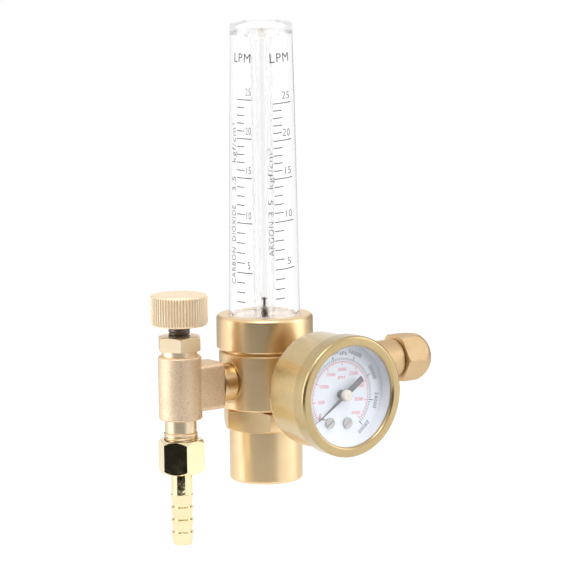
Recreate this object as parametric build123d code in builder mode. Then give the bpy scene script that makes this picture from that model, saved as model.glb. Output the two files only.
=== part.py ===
"""Argon flowmeter regulator: a brass pressure regulator with a dial gauge, a needle valve and a flow tube.

The origin is the centre of the inlet nut's mouth. X runs out of the mouth along the port axis,
Z runs up along the flow tube, and the gauge looks towards -Y. Sizes are in millimetres.
"""
from build123d import *

import math
import os

os.makedirs("parts", exist_ok=True)

# Fits
thread_gap = 0.05  # radial gap left between two modelled thread cylinders
run_gap = 0.05  # radial gap between a moving shaft and its bore
face_gap = 0.3  # axial gap between faces that move past each other
edge_break = 0.5  # chamfer on turned edges

# Place of the column on the port axis
inlet_reach = 73.8  # column axis to the mouth of the inlet nut

# Body, turned from bar and drilled for four ports
body_r = 17.0
body_below = 10.4  # port axis down to the body's lower face
body_above = 10.2  # port axis up to the body's shoulder
neck_step = 2.0
neck_r = body_r - neck_step  # threaded neck that the collar screws onto
neck_height = 8.0
bonnet_thread_wall = 2.6  # body left round the bonnet's thread
bonnet_thread_r = body_r - bonnet_thread_wall
bonnet_thread_depth = 3.0
diaphragm_ledge = 4.4  # ledge that clamps the diaphragm's rim
low_chamber_r = bonnet_thread_r - diaphragm_ledge
low_chamber_height = 1.4
nozzle_r = 2.0
nozzle_length = 4.0
poppet_chamber_r = 4.2
poppet_chamber_height = 9.0
plug_thread_r = 5.5
plug_height = 5.5
tube_recess_depth = 5.7
tube_recess_r = 8.4
feed_r = 1.0  # passage from the low pressure chamber up to the tube
feed_offset = 7.0
return_r = 1.1  # passage from the tube's cover down to the outlet port
spot_depth = 0.4  # depth of the flat spot face round each side port
port_face = body_r - spot_depth
port_face_r = 7.6
gauge_thread_r = 4.8
outlet_thread_r = 4.8
inlet_thread_r = 4.8
port_depth = 8.4  # depth of each threaded port from its spot face
passage_r = 1.2

# Bonnet with the range spring
bonnet_hex_af = body_r * math.sqrt(3)  # corners flush with the body
bonnet_hex_height = 8.1
skirt_step = 3.5
skirt_r = body_r - skirt_step
skirt_height = 19.5
skirt_fillet = 1.0
bonnet_floor = 5.0
skirt_wall = 3.9
bonnet_bore_r = skirt_r - skirt_wall
preset_r = 4.0
preset_length = 7.0
preset_socket_af = 4.0
preset_socket_depth = 3.0
spring_seat_gap = 1.1
spring_seat_r = bonnet_bore_r - spring_seat_gap
spring_seat_height = 3.0
range_wire_r = 1.1
range_coil_gap = 1.9  # bore to the outside of the range spring
range_coil_r = bonnet_bore_r - range_coil_gap - range_wire_r
range_turns = 6
plate_gap = 1.5
plate_r = low_chamber_r - plate_gap
plate_height = 1.6
plate_boss_gap = 0.7
plate_boss_r = range_coil_r - range_wire_r - plate_boss_gap
plate_boss_height = 2.0
diaphragm_height = 0.6
diaphragm_rise = 1.1
diaphragm_flat_margin = 0.1
diaphragm_flat_r = plate_r + diaphragm_flat_margin
diaphragm_rim_gap = 0.2
diaphragm_rim_r = bonnet_thread_r - diaphragm_rim_gap

# Poppet above the nozzle
poppet_lift = 0.8
poppet_head_r = 3.2
poppet_head_height = 3.0
poppet_boss_r = 1.5
poppet_boss_height = 3.0
poppet_pin_r = 1.2
poppet_wire_r = 0.35
poppet_coil_r = 2.05
poppet_turns = 6
plug_pocket_r = 2.7
plug_pocket_depth = 3.0

# Collar, clear cover and metering tube
groove = 1.0
collar_overhang = 0.8
collar_r = body_r + collar_overhang
collar_height = 12.5
collar_fillet = 1.5
cover_foot_gap = 0.4
cover_foot_r = neck_r - cover_foot_gap
cover_foot_height = 3.0
cover_foot_step = 1.4
cover_base_r = cover_foot_r - cover_foot_step
cover_draft = 1.75  # loss of outer radius from the collar to the top
cover_top_r = cover_base_r - cover_draft
cover_wall_base = 1.8
cover_bore_base_r = cover_base_r - cover_wall_base
cover_wall_top = 2.65
cover_bore_top_r = cover_top_r - cover_wall_top
cover_top = 131.0  # port axis up to the top of the cover
cover_crown = 2.7
cover_fillet = 2.6
crown_rim = 4.45
crown_recess_r = cover_top_r - crown_rim
crown_recess_depth = 0.8
crown_boss_length = 3.2
cover_seal_r = 0.8
cover_seal_margin = 2.0
cover_seal_ring_r = neck_r - cover_seal_margin
tube_r = 4.05
crown_boss_wall = 2.45
crown_boss_r = tube_r + crown_boss_wall
return_inset = 1.2
return_offset = cover_bore_base_r - return_inset
tube_bore_base_r = 1.30
tube_bore_top_r = 1.65
tube_seat_neck_r = 7.0
tube_seat_rise = 3.2  # tube seat above the body's neck
tube_seat_gallery = 1.0
tube_socket_depth = 4.0
tube_hole_r = 0.9
tube_seal_r = 0.75
float_r = 1.15
float_length = 12.2
float_shoulder = 1.2
float_neck_r = 0.5
float_neck_length = 2.4
float_cap_r = 0.95
float_cap_height = 0.6
stop_length = 4.0
stop_hole_r = 0.7

# Gauge, measured out from the column axis
gauge_turn = -6.0  # how far the gauge stands from upright when its thread is tight
case_r = 20.75
case_depth = 23.5  # back of the case to the front of the bezel
bezel_lap = 1.0
bezel_r = case_r + bezel_lap
bezel_depth = 6.0
bezel_lip = 3.75
window_r = bezel_r - bezel_lip
case_wall = 1.0
case_fillet = 3.0
lens_height = 1.4
spacer_inset = 0.5
bezel_outer_fillet = 1.1
bezel_inner_fillet = 0.9
lens_inset = 1.3
dial_margin = 1.55
dial_r = case_r - dial_margin
dial_height = 0.5
dial_inset = 7.8
dial_hole_r = 1.4
pointer_height = 0.4
pointer_margin = 4.7
pointer_length = dial_r - pointer_margin
pointer_tail = 9.3
pointer_lift = 2.7
pointer_waist_width = 1.3
pointer_tail_width = 2.2
bush_r = 1.6  # bush that carries the pointer off the dial
hub_r = 2.2
hub_cap_r = 2.1
hub_height = 1.6
hub_bevel = 0.45
arbor_r = 0.8
spindle_r = 0.35  # end of the arbor that shows in the middle of the hub
zero_angle = 220.5
stop_pin_margin = 7.2
stop_pin_offset = dial_r - stop_pin_margin
stop_pin_r = 0.45
dial_screw_head_r = 1.9
dial_screw_r = 0.7
dial_screw_head_height = 0.8
screw_slot_width = 0.5
screw_slot_turn = 35.0
square_af = 11.0
square_length = 10.8
shoulder_r = 6.5
shoulder_height = 1.8
gauge_face = port_face + shoulder_height + square_length + case_depth
flange_r = 7.0
block_width = 8.0
block_margin = 4.55  # foot of the socket's block to the bore of the case
block_drop = case_r - case_wall - block_margin
block_foot = 1.2  # foot of the block to the middle of the bourdon tube
bourdon_coil_r = block_drop - block_foot
bourdon_radial = 1.8
bourdon_start_angle = -76.0
bourdon_wrap_angle = 206.0
movement_plate = 0.8
pillar_r = 1.0
sector_angle = 70.0
sector_hub_r = 1.6
gear_ratio = 5.1
gear_gap = 0.12
pointer_sweep_angle = 270.0
link_width = 1.4
link_height = 0.5

# Gauge movement in depth, as shares of the room between the case's floor and the dial
works_depth = case_depth - case_wall - dial_inset - dial_height
flange_share = 0.13
block_share = 0.3
movement_share = 0.33
pinion_share = 0.36  # of the gap between the movement's plates
sector_share = 0.2  # of the gap between the movement's plates
flange_height = works_depth * flange_share
block_height = works_depth * block_share
block_lip = 0.56
bourdon_axial = block_height - block_lip
movement_gap = works_depth * movement_share
pinion_height = movement_gap * pinion_share
sector_height = movement_gap * sector_share

# Gauge movement across, as shares of the bourdon tube's radius
width_share = 1.21
up_share = 0.64
down_share = 0.88
sector_rim_share = 0.4
sector_arm_share = 0.36
tip_share = 0.22
screw_side_share = 0.28
screw_drop_share = 0.735
movement_width = bourdon_coil_r * width_share
movement_up = bourdon_coil_r * up_share
movement_down = bourdon_coil_r * down_share
sector_r = bourdon_coil_r * sector_rim_share
sector_arm = bourdon_coil_r * sector_arm_share
pinion_r = sector_r / gear_ratio
tip_block_side = bourdon_coil_r * tip_share
dial_screw_x = bourdon_coil_r * screw_side_share
dial_screw_drop = bourdon_coil_r * screw_drop_share

# Needle valve
valve_body_r = 7.85
valve_body_below = 11.1
valve_body_above = 12.0
arm_width = 12.0
arm_height = 17.0
nipple_show = 5.4  # nipple between the body and the valve body's arm
arm_end = port_face + nipple_show
arm_length = 15.8
valve_reach = arm_end + arm_length  # column axis to the needle valve's axis
arm_fillet = 1.6
nipple_r = 7.0
nipple_thread_length = 6.5
nipple_bore_r = 1.75
chamber_r = 4.2
chamber_floor = 2.2
seat_hole_r = 1.4
seat_height = 2.2
drop_r = 2.2
packing_r = 5.15
packing_height = 2.0
packing_floor = 3.5
gland_thread_r = 5.6
gland_collar_r = 6.4
gland_collar_height = 2.1
gland_hex_af = 14.5
gland_hex_height = 5.1
stem_thread_r = 3.95
stem_shank_r = 3.0
stem_shank_bottom = -0.5
stem_needle_r = 1.9
stem_needle_tip_r = 0.5
stem_needle_tip = -3.9
stem_show = 4.0  # thread that shows between the gland nut and the knob
stem_spigot_length = 8.0
knob_r = 10.4
knob_height = 11.0
knob_teeth = 60
knurl_depth = 0.45
knurl_side = knurl_depth * math.sqrt(2)
knurl_turn = 45.0
knob_bevel = 0.8
knob_recess_r = 8.0
knob_recess_depth = 2.5
knob_hub_r = 5.0

# Outlet adapter, union nut and hose tail
adapter_neck_r = 5.75
adapter_neck_length = 4.5
adapter_thread_r = 6.15
adapter_thread_length = 8.9
adapter_root_r = 4.5
adapter_root_length = 4.6
adapter_bore_r = 2.0
thread_show = 2.9  # thread that shows between the adapter's neck and the union nut
union_af = 15.0
union_height = 12.1
union_floor = 2.0
union_turn = 10.0
tail_washer_height = 1.2
tail_collar_r = 5.8
tail_shank_r = 3.9
tail_shank_length = 8.1
tail_bore_r = 2.2
barb_count = 4
barb_pitch = 4.65
barb_crest_r = 4.15
barb_root_r = 3.45

# Inlet stem, nipple and swivel nut
inlet_stem_r = 7.5
flats_af = 13.0
flats_length = 7.0
filter_r = 3.9
filter_length = 14.0
inlet_bore_r = 1.6
inlet_nut_af = 17.0
inlet_nut_length = 12.6
mouth_r = 6.95
mouth_thread_r = 6.58
mouth_depth = 10.0
mouth_thread_length = 6.3
mouth_relief = 0.25
nipple_neck_r = 4.5
nipple_head_r = 6.2
nipple_head_length = 2.2
inlet_nipple_thread_r = 5.0
inlet_nipple_thread_length = 8.0
inlet_washer_length = 1.2
inlet_washer_r = 6.0
inlet_washer_hole_r = 3.0

# Axes and planes that the pieces are placed on
column_x = -inlet_reach
valve_x = column_x - valve_reach
column_axis = Axis((column_x, 0, 0), (0, 0, 1))
valve_axis = Axis((valve_x, 0, 0), (0, 0, 1))
gauge_axis = Axis((column_x, 0, 0), (0, -1, 0))
port_axis = Axis.X
column_side = Plane(origin=(column_x, 0, 0), x_dir=(1, 0, 0), z_dir=(0, -1, 0))
valve_side = Plane(origin=(valve_x, 0, 0), x_dir=(1, 0, 0), z_dir=(0, -1, 0))
port_side = Plane(origin=(0, 0, 0), x_dir=(1, 0, 0), z_dir=(0, -1, 0))
gauge_side = Plane(origin=(column_x, 0, 0), x_dir=(0, -1, 0), z_dir=(-1, 0, 0))


def column_level(height):
    """Horizontal plane on the column's axis."""
    return Plane((column_x, 0, height))


def valve_level(height):
    """Horizontal plane on the needle valve's axis."""
    return Plane((valve_x, 0, height))


def gauge_level(distance, turn=gauge_turn):
    """Upright plane on the gauge's axis, seen from the front of the dial and turned with it."""
    side = (math.cos(math.radians(turn)), 0, math.sin(math.radians(turn)))
    return Plane(origin=(column_x, -distance, 0), x_dir=side, z_dir=(0, -1, 0))


def port_level(x):
    """Upright plane across the port axis, looking back along X from outside."""
    return Plane(origin=(x, 0, 0), x_dir=(0, 1, 0), z_dir=(1, 0, 0))


def outline(plane, *points):
    """Closed outline drawn on a plane."""
    with BuildSketch(plane) as section:
        with BuildLine():
            Polyline(*points, close=True)
        make_face()
    return section.sketch


def hexagon(plane, across_flats, turn=0.0):
    """Hexagon by its width across flats, with a corner on the plane's x axis at no turn."""
    with BuildSketch(plane) as section:
        RegularPolygon(across_flats / 2, 6, major_radius=False, rotation=turn)
    return section.sketch


def corner_radius(across_flats):
    """Radius of a hexagon's corners."""
    return across_flats / math.sqrt(3)


def finish_piece(piece, name):
    """Label a finished piece and write it."""
    piece.part.label = name
    export_step(piece.part, f"parts/{name}.step")


def coil(plane, coil_r, wire_r, length, turns):
    """Round wire wound as a helix that starts on a plane and rises along its normal."""
    rise = length - 2 * wire_r
    with BuildPart() as spring:
        with BuildLine(plane.offset(wire_r)):
            path = Helix(pitch=rise / turns, height=rise, radius=coil_r)
        with BuildSketch(Plane(origin=path @ 0, z_dir=path % 0)):
            Circle(wire_r)
        sweep(is_frenet=True)
    return spring


# Levels on the column, up from the port axis
body_bottom = -body_below
body_top = body_above
neck_top = body_top + neck_height
recess_floor = neck_top - tube_recess_depth
ledge = body_bottom + bonnet_thread_depth
low_ceiling = ledge + low_chamber_height
nozzle_top = low_ceiling + nozzle_length
collar_bottom = body_top + groove
collar_top = collar_bottom + collar_height
foot_bottom = neck_top
foot_top = foot_bottom + cover_foot_height
plug_bottom = recess_floor - plug_height
bonnet_top = ledge - diaphragm_height
hex_bottom = body_bottom - bonnet_hex_height
bonnet_bottom = hex_bottom - skirt_height

# Body: turned outside, stepped bores inside, side ports and two small drilled passages
with BuildPart() as body:
    revolve(
        outline(
            column_side,
            (0, body_bottom),
            (body_r - edge_break, body_bottom),
            (body_r, body_bottom + edge_break),
            (body_r, body_top - edge_break),
            (body_r - edge_break, body_top),
            (neck_r, body_top),
            (neck_r, neck_top - edge_break),
            (neck_r - edge_break, neck_top),
            (0, neck_top),
        ),
        axis=column_axis,
    )
    for level, radius, depth in (
        (body_bottom, bonnet_thread_r + thread_gap, bonnet_thread_depth),
        (ledge, low_chamber_r, low_chamber_height),
        (low_ceiling, nozzle_r, nozzle_length),
        (nozzle_top, poppet_chamber_r, poppet_chamber_height),
        (plug_bottom, plug_thread_r, plug_height),
        (recess_floor, tube_recess_r, tube_recess_depth),
    ):
        with BuildSketch(column_level(level)):
            Circle(radius)
        extrude(amount=depth, mode=Mode.SUBTRACT)
    with BuildSketch(column_level(ledge)):
        with Locations((0, feed_offset)):
            Circle(feed_r)
    extrude(amount=recess_floor - ledge, mode=Mode.SUBTRACT)
    with BuildSketch(column_level(0)):
        with Locations((-return_offset, 0)):
            Circle(return_r)
    extrude(amount=neck_top, mode=Mode.SUBTRACT)
    with BuildSketch(column_level(neck_top)):
        Circle(cover_seal_ring_r + cover_seal_r)
        Circle(cover_seal_ring_r - cover_seal_r, mode=Mode.SUBTRACT)
    extrude(amount=-2 * cover_seal_r, mode=Mode.SUBTRACT)
    for face_plane, thread_r in (
        (gauge_level(port_face), gauge_thread_r),
        (port_level(column_x + port_face), inlet_thread_r),
        (Plane(origin=(column_x - port_face, 0, 0), z_dir=(-1, 0, 0)), outlet_thread_r),
    ):
        with BuildSketch(face_plane):
            Circle(port_face_r)
        extrude(amount=body_r - port_face + face_gap, mode=Mode.SUBTRACT)
        with BuildSketch(face_plane):
            Circle(thread_r + thread_gap)
        extrude(amount=-port_depth, mode=Mode.SUBTRACT)
    for face_plane in (gauge_level(port_face), port_level(column_x + port_face)):
        with BuildSketch(face_plane):
            Circle(passage_r)
        extrude(amount=-port_face, mode=Mode.SUBTRACT)
finish_piece(body, "body")

# Bonnet: hexagon over a round skirt, hollow for the range spring, tapped in its floor
with BuildPart() as bonnet:
    extrude(hexagon(column_level(hex_bottom), bonnet_hex_af), amount=bonnet_hex_height)
    hex_corner_r = corner_radius(bonnet_hex_af)
    hex_bevel = hex_corner_r - bonnet_hex_af / 2
    revolve(
        outline(
            column_side,
            (0, hex_bottom),
            (bonnet_hex_af / 2, hex_bottom),
            (hex_corner_r, hex_bottom + hex_bevel / 2),
            (hex_corner_r, body_bottom - hex_bevel / 2),
            (bonnet_hex_af / 2, body_bottom),
            (0, body_bottom),
        ),
        axis=column_axis,
        mode=Mode.INTERSECT,
    )
    revolve(
        outline(
            column_side,
            (0, bonnet_bottom),
            (skirt_r, bonnet_bottom),
            (skirt_r, hex_bottom),
            (0, hex_bottom),
        ),
        axis=column_axis,
    )
    fillet(bonnet.edges().filter_by(GeomType.CIRCLE).sort_by(Axis.Z)[0], skirt_fillet)
    with BuildSketch(column_level(body_bottom)):
        Circle(bonnet_thread_r)
    extrude(amount=bonnet_top - body_bottom)
    with BuildSketch(column_level(bonnet_bottom + bonnet_floor)):
        Circle(bonnet_bore_r)
    extrude(amount=bonnet_top - bonnet_bottom - bonnet_floor, mode=Mode.SUBTRACT)
    with BuildSketch(column_level(bonnet_bottom)):
        Circle(preset_r + thread_gap)
    extrude(amount=bonnet_floor, mode=Mode.SUBTRACT)
finish_piece(bonnet, "bonnet")

# Preset screw with a hexagon socket and a cone point
preset_bottom = bonnet_bottom + edge_break
preset_top = preset_bottom + preset_length
preset_cone = preset_r / 2
with BuildPart() as preset_screw:
    revolve(
        outline(
            column_side,
            (0, preset_bottom),
            (preset_r, preset_bottom),
            (preset_r, preset_top - preset_cone),
            (preset_r - preset_cone, preset_top),
            (0, preset_top),
        ),
        axis=column_axis,
    )
    extrude(
        hexagon(column_level(preset_bottom), preset_socket_af),
        amount=preset_socket_depth,
        mode=Mode.SUBTRACT,
    )
finish_piece(preset_screw, "preset_screw")

# Spring seat with a centre hole for the screw's point
seat_bottom = preset_top - preset_cone
seat_top = seat_bottom + spring_seat_height
with BuildPart() as spring_seat:
    with BuildSketch(column_level(seat_bottom)):
        Circle(spring_seat_r)
    extrude(amount=spring_seat_height)
    revolve(
        outline(
            column_side,
            (0, seat_bottom),
            (preset_r, seat_bottom),
            (preset_r - preset_cone, preset_top),
            (0, preset_top),
        ),
        axis=column_axis,
        mode=Mode.SUBTRACT,
    )
finish_piece(spring_seat, "spring_seat")

# Diaphragm: a rubber disc, clamped at its rim and raised in the middle
diaphragm_top = ledge + diaphragm_rise
centre_bottom = diaphragm_top - diaphragm_height
diaphragm_slope_r = diaphragm_flat_r + diaphragm_rise
with BuildPart() as diaphragm:
    revolve(
        outline(
            column_side,
            (0, centre_bottom),
            (diaphragm_flat_r, centre_bottom),
            (diaphragm_slope_r, bonnet_top),
            (diaphragm_rim_r, bonnet_top),
            (diaphragm_rim_r, ledge),
            (diaphragm_slope_r, ledge),
            (diaphragm_flat_r, diaphragm_top),
            (0, diaphragm_top),
        ),
        axis=column_axis,
    )
finish_piece(diaphragm, "diaphragm")

# Diaphragm plate, with a boss that centres the range spring
plate_bottom = centre_bottom - plate_height
with BuildPart() as diaphragm_plate:
    with BuildSketch(column_level(plate_bottom)):
        Circle(plate_r)
    extrude(amount=plate_height)
    with BuildSketch(column_level(plate_bottom - plate_boss_height)):
        Circle(plate_boss_r)
    extrude(amount=plate_boss_height)
    chamfer(diaphragm_plate.faces().sort_by(Axis.Z)[0].edges(), edge_break)
finish_piece(diaphragm_plate, "diaphragm_plate")

range_spring = coil(
    column_level(seat_top + thread_gap),
    range_coil_r,
    range_wire_r,
    plate_bottom - seat_top - 2 * thread_gap,
    range_turns,
)
finish_piece(range_spring, "range_spring")

# Poppet: a head that shuts the nozzle, a pin down to the diaphragm and a boss for its spring
poppet_face = nozzle_top + poppet_lift + thread_gap
poppet_top = poppet_face + poppet_head_height
with BuildPart() as poppet:
    revolve(
        outline(
            column_side,
            (0, diaphragm_top),
            (poppet_pin_r, diaphragm_top),
            (poppet_pin_r, poppet_face),
            (poppet_head_r, poppet_face),
            (poppet_head_r, poppet_top),
            (poppet_boss_r, poppet_top),
            (poppet_boss_r, poppet_top + poppet_boss_height),
            (0, poppet_top + poppet_boss_height),
        ),
        axis=column_axis,
    )
finish_piece(poppet, "poppet")

# Plug that closes the poppet chamber and holds the poppet spring
with BuildPart() as poppet_plug:
    with BuildSketch(column_level(plug_bottom)):
        Circle(plug_thread_r - thread_gap)
    extrude(amount=plug_height)
    with BuildSketch(column_level(plug_bottom)):
        Circle(plug_pocket_r)
    extrude(amount=plug_pocket_depth, mode=Mode.SUBTRACT)
finish_piece(poppet_plug, "poppet_plug")

pocket_ceiling = plug_bottom + plug_pocket_depth
poppet_spring = coil(
    column_level(poppet_top + thread_gap),
    poppet_coil_r,
    poppet_wire_r,
    pocket_ceiling - poppet_top - 2 * thread_gap,
    poppet_turns,
)
finish_piece(poppet_spring, "poppet_spring")

# Collar: a ring nut whose lip holds the cover's foot down
with BuildPart() as tube_collar:
    revolve(
        outline(
            column_side,
            (neck_r + thread_gap, collar_bottom),
            (collar_r - edge_break, collar_bottom),
            (collar_r, collar_bottom + edge_break),
            (collar_r, collar_top),
            (cover_base_r + run_gap, collar_top),
            (cover_base_r + run_gap, foot_top),
            (neck_r + thread_gap, foot_top),
        ),
        axis=column_axis,
    )
    top_rims = tube_collar.edges().filter_by(GeomType.CIRCLE).group_by(Axis.Z)[-1]
    fillet(top_rims.sort_by(SortBy.RADIUS)[-1], collar_fillet)
finish_piece(tube_collar, "tube_collar")

# Seal in the body's face groove under the cover's foot
with BuildPart() as cover_seal:
    with BuildSketch(column_side):
        with Locations((cover_seal_ring_r, neck_top - cover_seal_r)):
            Circle(cover_seal_r - thread_gap / 2)
    revolve(axis=column_axis)
finish_piece(cover_seal, "cover_seal")

# Clear cover: a moulded tube with draft, a foot, a closed crown and a boss that steadies the tube
cover_ceiling = cover_top - cover_crown
boss_bottom = cover_ceiling - crown_boss_length
with BuildPart() as tube_cover:
    revolve(
        outline(
            column_side,
            (0, cover_ceiling),
            (cover_bore_top_r, cover_ceiling),
            (cover_bore_base_r, foot_bottom),
            (cover_foot_r, foot_bottom),
            (cover_foot_r, foot_top),
            (cover_base_r, foot_top),
            (cover_base_r, collar_top),
            (cover_top_r, cover_top),
            (0, cover_top),
        ),
        axis=column_axis,
    )
    crown_rim = tube_cover.edges().filter_by(GeomType.CIRCLE).group_by(Axis.Z)[-1]
    fillet(crown_rim, cover_fillet)
    with BuildSketch(column_level(cover_top)):
        Circle(crown_recess_r)
    extrude(amount=-crown_recess_depth, mode=Mode.SUBTRACT)
    with BuildSketch(column_level(boss_bottom)):
        Circle(crown_boss_r)
        Circle(tube_r + thread_gap, mode=Mode.SUBTRACT)
        Rectangle(2 * crown_boss_r, 2 * feed_r, mode=Mode.SUBTRACT)
    extrude(amount=crown_boss_length)
finish_piece(tube_cover, "tube_cover")

# Tube seat in the body's top recess, with a gallery under it and a socket for the tube
seat_top_level = neck_top + tube_seat_rise
socket_floor = seat_top_level - tube_socket_depth
gallery_r = tube_recess_r - edge_break - thread_gap
with BuildPart() as tube_seat:
    with BuildSketch(column_level(recess_floor)):
        Circle(tube_recess_r - thread_gap)
    extrude(amount=tube_recess_depth)
    with BuildSketch(column_level(neck_top)):
        Circle(tube_seat_neck_r)
    extrude(amount=tube_seat_rise)
    with BuildSketch(column_level(recess_floor)):
        Circle(gallery_r)
    extrude(amount=tube_seat_gallery, mode=Mode.SUBTRACT)
    with BuildSketch(column_level(recess_floor)):
        Circle(tube_hole_r)
    extrude(amount=socket_floor - recess_floor, mode=Mode.SUBTRACT)
    with BuildSketch(column_level(socket_floor)):
        Circle(tube_r + thread_gap)
    extrude(amount=tube_socket_depth, mode=Mode.SUBTRACT)
    with BuildSketch(column_level(seat_top_level)):
        Circle(tube_r + 2 * tube_seal_r)
    extrude(amount=-2 * tube_seal_r, mode=Mode.SUBTRACT)
finish_piece(tube_seat, "tube_seat")

# Seal round the foot of the metering tube
with BuildPart() as tube_seal:
    with BuildSketch(column_side):
        with Locations((tube_r + tube_seal_r, seat_top_level - tube_seal_r)):
            Circle(tube_seal_r - thread_gap / 2)
    revolve(axis=column_axis)
finish_piece(tube_seal, "tube_seal")

# Metering tube: a thick wall with a bore that widens upwards
tube_top = cover_ceiling - face_gap
with BuildPart() as metering_tube:
    revolve(
        outline(
            column_side,
            (tube_bore_base_r, socket_floor),
            (tube_r, socket_floor),
            (tube_r, tube_top),
            (tube_bore_top_r, tube_top),
        ),
        axis=column_axis,
    )
finish_piece(metering_tube, "metering_tube")

# Float stop in the top of the bore
with BuildPart() as float_stop:
    with BuildSketch(column_level(tube_top - stop_length)):
        Circle(tube_bore_top_r - run_gap)
        Circle(stop_hole_r, mode=Mode.SUBTRACT)
    extrude(amount=stop_length)
finish_piece(float_stop, "float_stop")

# Float: a slim plummet with a narrow neck under a small cap
float_top = socket_floor + float_length
cap_bottom = float_top - float_cap_height
neck_foot = cap_bottom - float_neck_length
with BuildPart() as flow_float:
    revolve(
        outline(
            column_side,
            (0, socket_floor),
            (float_neck_r, socket_floor),
            (float_r, socket_floor + float_r),
            (float_r, neck_foot - float_shoulder),
            (float_neck_r, neck_foot),
            (float_neck_r, cap_bottom),
            (float_cap_r, cap_bottom),
            (float_cap_r, float_top),
            (0, float_top),
        ),
        axis=column_axis,
    )
finish_piece(flow_float, "flow_float")

# Gauge levels, out from the column axis
case_back = gauge_face - case_depth
bezel_back = gauge_face - bezel_depth
dial_front = gauge_face - dial_inset
dial_back = dial_front - dial_height
lens_front = gauge_face - lens_inset
lens_back = lens_front - lens_height
pointer_back = dial_front + pointer_lift
pointer_front = pointer_back + pointer_height
inner_back = case_back + case_wall
block_front = inner_back + flange_height + block_height
front_plate_back = block_front + movement_plate + movement_gap
front_plate_front = front_plate_back + movement_plate

# Gauge case: a drawn cup with a rounded back, a hole for the socket and a ledge for the dial
case_bore_r = case_r - case_wall
with BuildPart() as gauge_case:
    with BuildSketch(gauge_level(case_back)):
        Circle(case_r)
    extrude(amount=lens_back - case_back)
    fillet(gauge_case.faces().sort_by(Axis.Y)[-1].edges(), case_fillet)
    offset(amount=-case_wall, openings=gauge_case.faces().sort_by(Axis.Y)[0])
    with BuildSketch(gauge_level(case_back)):
        Circle(shoulder_r)
    extrude(amount=case_wall, mode=Mode.SUBTRACT)
    with BuildSketch(gauge_level(dial_back)):
        Circle(case_r - case_wall / 2)
        Circle(dial_r - case_wall, mode=Mode.SUBTRACT)
    extrude(amount=-case_wall)
finish_piece(gauge_case, "gauge_case")

# Bezel: a snap ring with a rounded lip round the window
with BuildPart() as bezel:
    revolve(
        outline(
            gauge_side,
            (bezel_back, case_r + thread_gap),
            (bezel_back, bezel_r),
            (gauge_face, bezel_r),
            (gauge_face, window_r),
            (lens_front, window_r),
            (lens_front, case_r + thread_gap),
        ),
        axis=gauge_axis,
    )
    lip_rims = bezel.edges().filter_by(GeomType.CIRCLE).group_by(Axis.Y)[0].sort_by(SortBy.RADIUS)
    fillet(lip_rims[-1], bezel_outer_fillet)
    fillet(lip_rims[0], bezel_inner_fillet)
finish_piece(bezel, "bezel")

# Lens and the spacer that holds it off the dial
with BuildPart() as lens:
    with BuildSketch(gauge_level(lens_back)):
        Circle(case_r)
    extrude(amount=lens_height)
finish_piece(lens, "lens")

with BuildPart() as spacer_ring:
    with BuildSketch(gauge_level(dial_front)):
        Circle(case_bore_r - thread_gap)
        Circle(window_r + spacer_inset, mode=Mode.SUBTRACT)
    extrude(amount=lens_back - dial_front)
finish_piece(spacer_ring, "spacer_ring")

# Dial with holes for the arbor, the two screws and the stop pin
with BuildPart() as dial:
    with BuildSketch(gauge_level(dial_back)):
        Circle(dial_r)
        Circle(dial_hole_r, mode=Mode.SUBTRACT)
        with Locations((-dial_screw_x, -dial_screw_drop), (dial_screw_x, -dial_screw_drop)):
            Circle(dial_screw_r + thread_gap, mode=Mode.SUBTRACT)
    extrude(amount=dial_height)
finish_piece(dial, "dial")

# Two dial screws with slotted heads
with BuildPart() as dial_screws:
    with BuildSketch(gauge_level(dial_front)):
        with Locations((-dial_screw_x, -dial_screw_drop), (dial_screw_x, -dial_screw_drop)):
            Circle(dial_screw_head_r)
    extrude(amount=dial_screw_head_height)
    with BuildSketch(gauge_level(dial_front + dial_screw_head_height)):
        with Locations((-dial_screw_x, -dial_screw_drop), (dial_screw_x, -dial_screw_drop)):
            Rectangle(2 * dial_screw_head_r, screw_slot_width, rotation=screw_slot_turn)
    extrude(amount=-dial_screw_head_height / 2, mode=Mode.SUBTRACT)
    with BuildSketch(gauge_level(dial_front)):
        with Locations((-dial_screw_x, -dial_screw_drop), (dial_screw_x, -dial_screw_drop)):
            Circle(dial_screw_r)
    extrude(amount=front_plate_front - dial_front)
finish_piece(dial_screws, "dial_screws")

# Stop pin at zero, pressed through the dial's face
zero = math.radians(zero_angle)
stop_turn = math.atan2(stop_pin_r + pointer_waist_width / 2 + run_gap, stop_pin_offset)
stop_angle = zero + stop_turn
stop_x = stop_pin_offset * math.cos(stop_angle)
stop_z = stop_pin_offset * math.sin(stop_angle)
with BuildPart() as stop_pin:
    with BuildSketch(gauge_level(dial_front)):
        with Locations((stop_x, stop_z)):
            Circle(stop_pin_r)
    extrude(amount=pointer_front - dial_front)
finish_piece(stop_pin, "stop_pin")

# Pointer: a blade with a broad tail on a round bush, modelled at zero
blade = (
    (pointer_length, 0),
    (hub_r, pointer_waist_width / 2),
    (0, pointer_waist_width / 2),
    (0, pointer_tail_width / 2),
    (-pointer_tail, pointer_tail_width / 2),
    (-pointer_tail, -pointer_tail_width / 2),
    (0, -pointer_tail_width / 2),
    (0, -pointer_waist_width / 2),
    (hub_r, -pointer_waist_width / 2),
)
with BuildPart() as pointer:
    with BuildSketch(gauge_level(pointer_back, gauge_turn + zero_angle)):
        with BuildLine():
            Polyline(*blade, close=True)
        make_face()
        Circle(hub_r)
        Circle(arbor_r, mode=Mode.SUBTRACT)
    extrude(amount=pointer_height)
    with BuildSketch(gauge_level(dial_front + face_gap)):
        Circle(bush_r)
        Circle(arbor_r, mode=Mode.SUBTRACT)
    extrude(amount=pointer_lift - face_gap)
finish_piece(pointer, "pointer")

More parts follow.
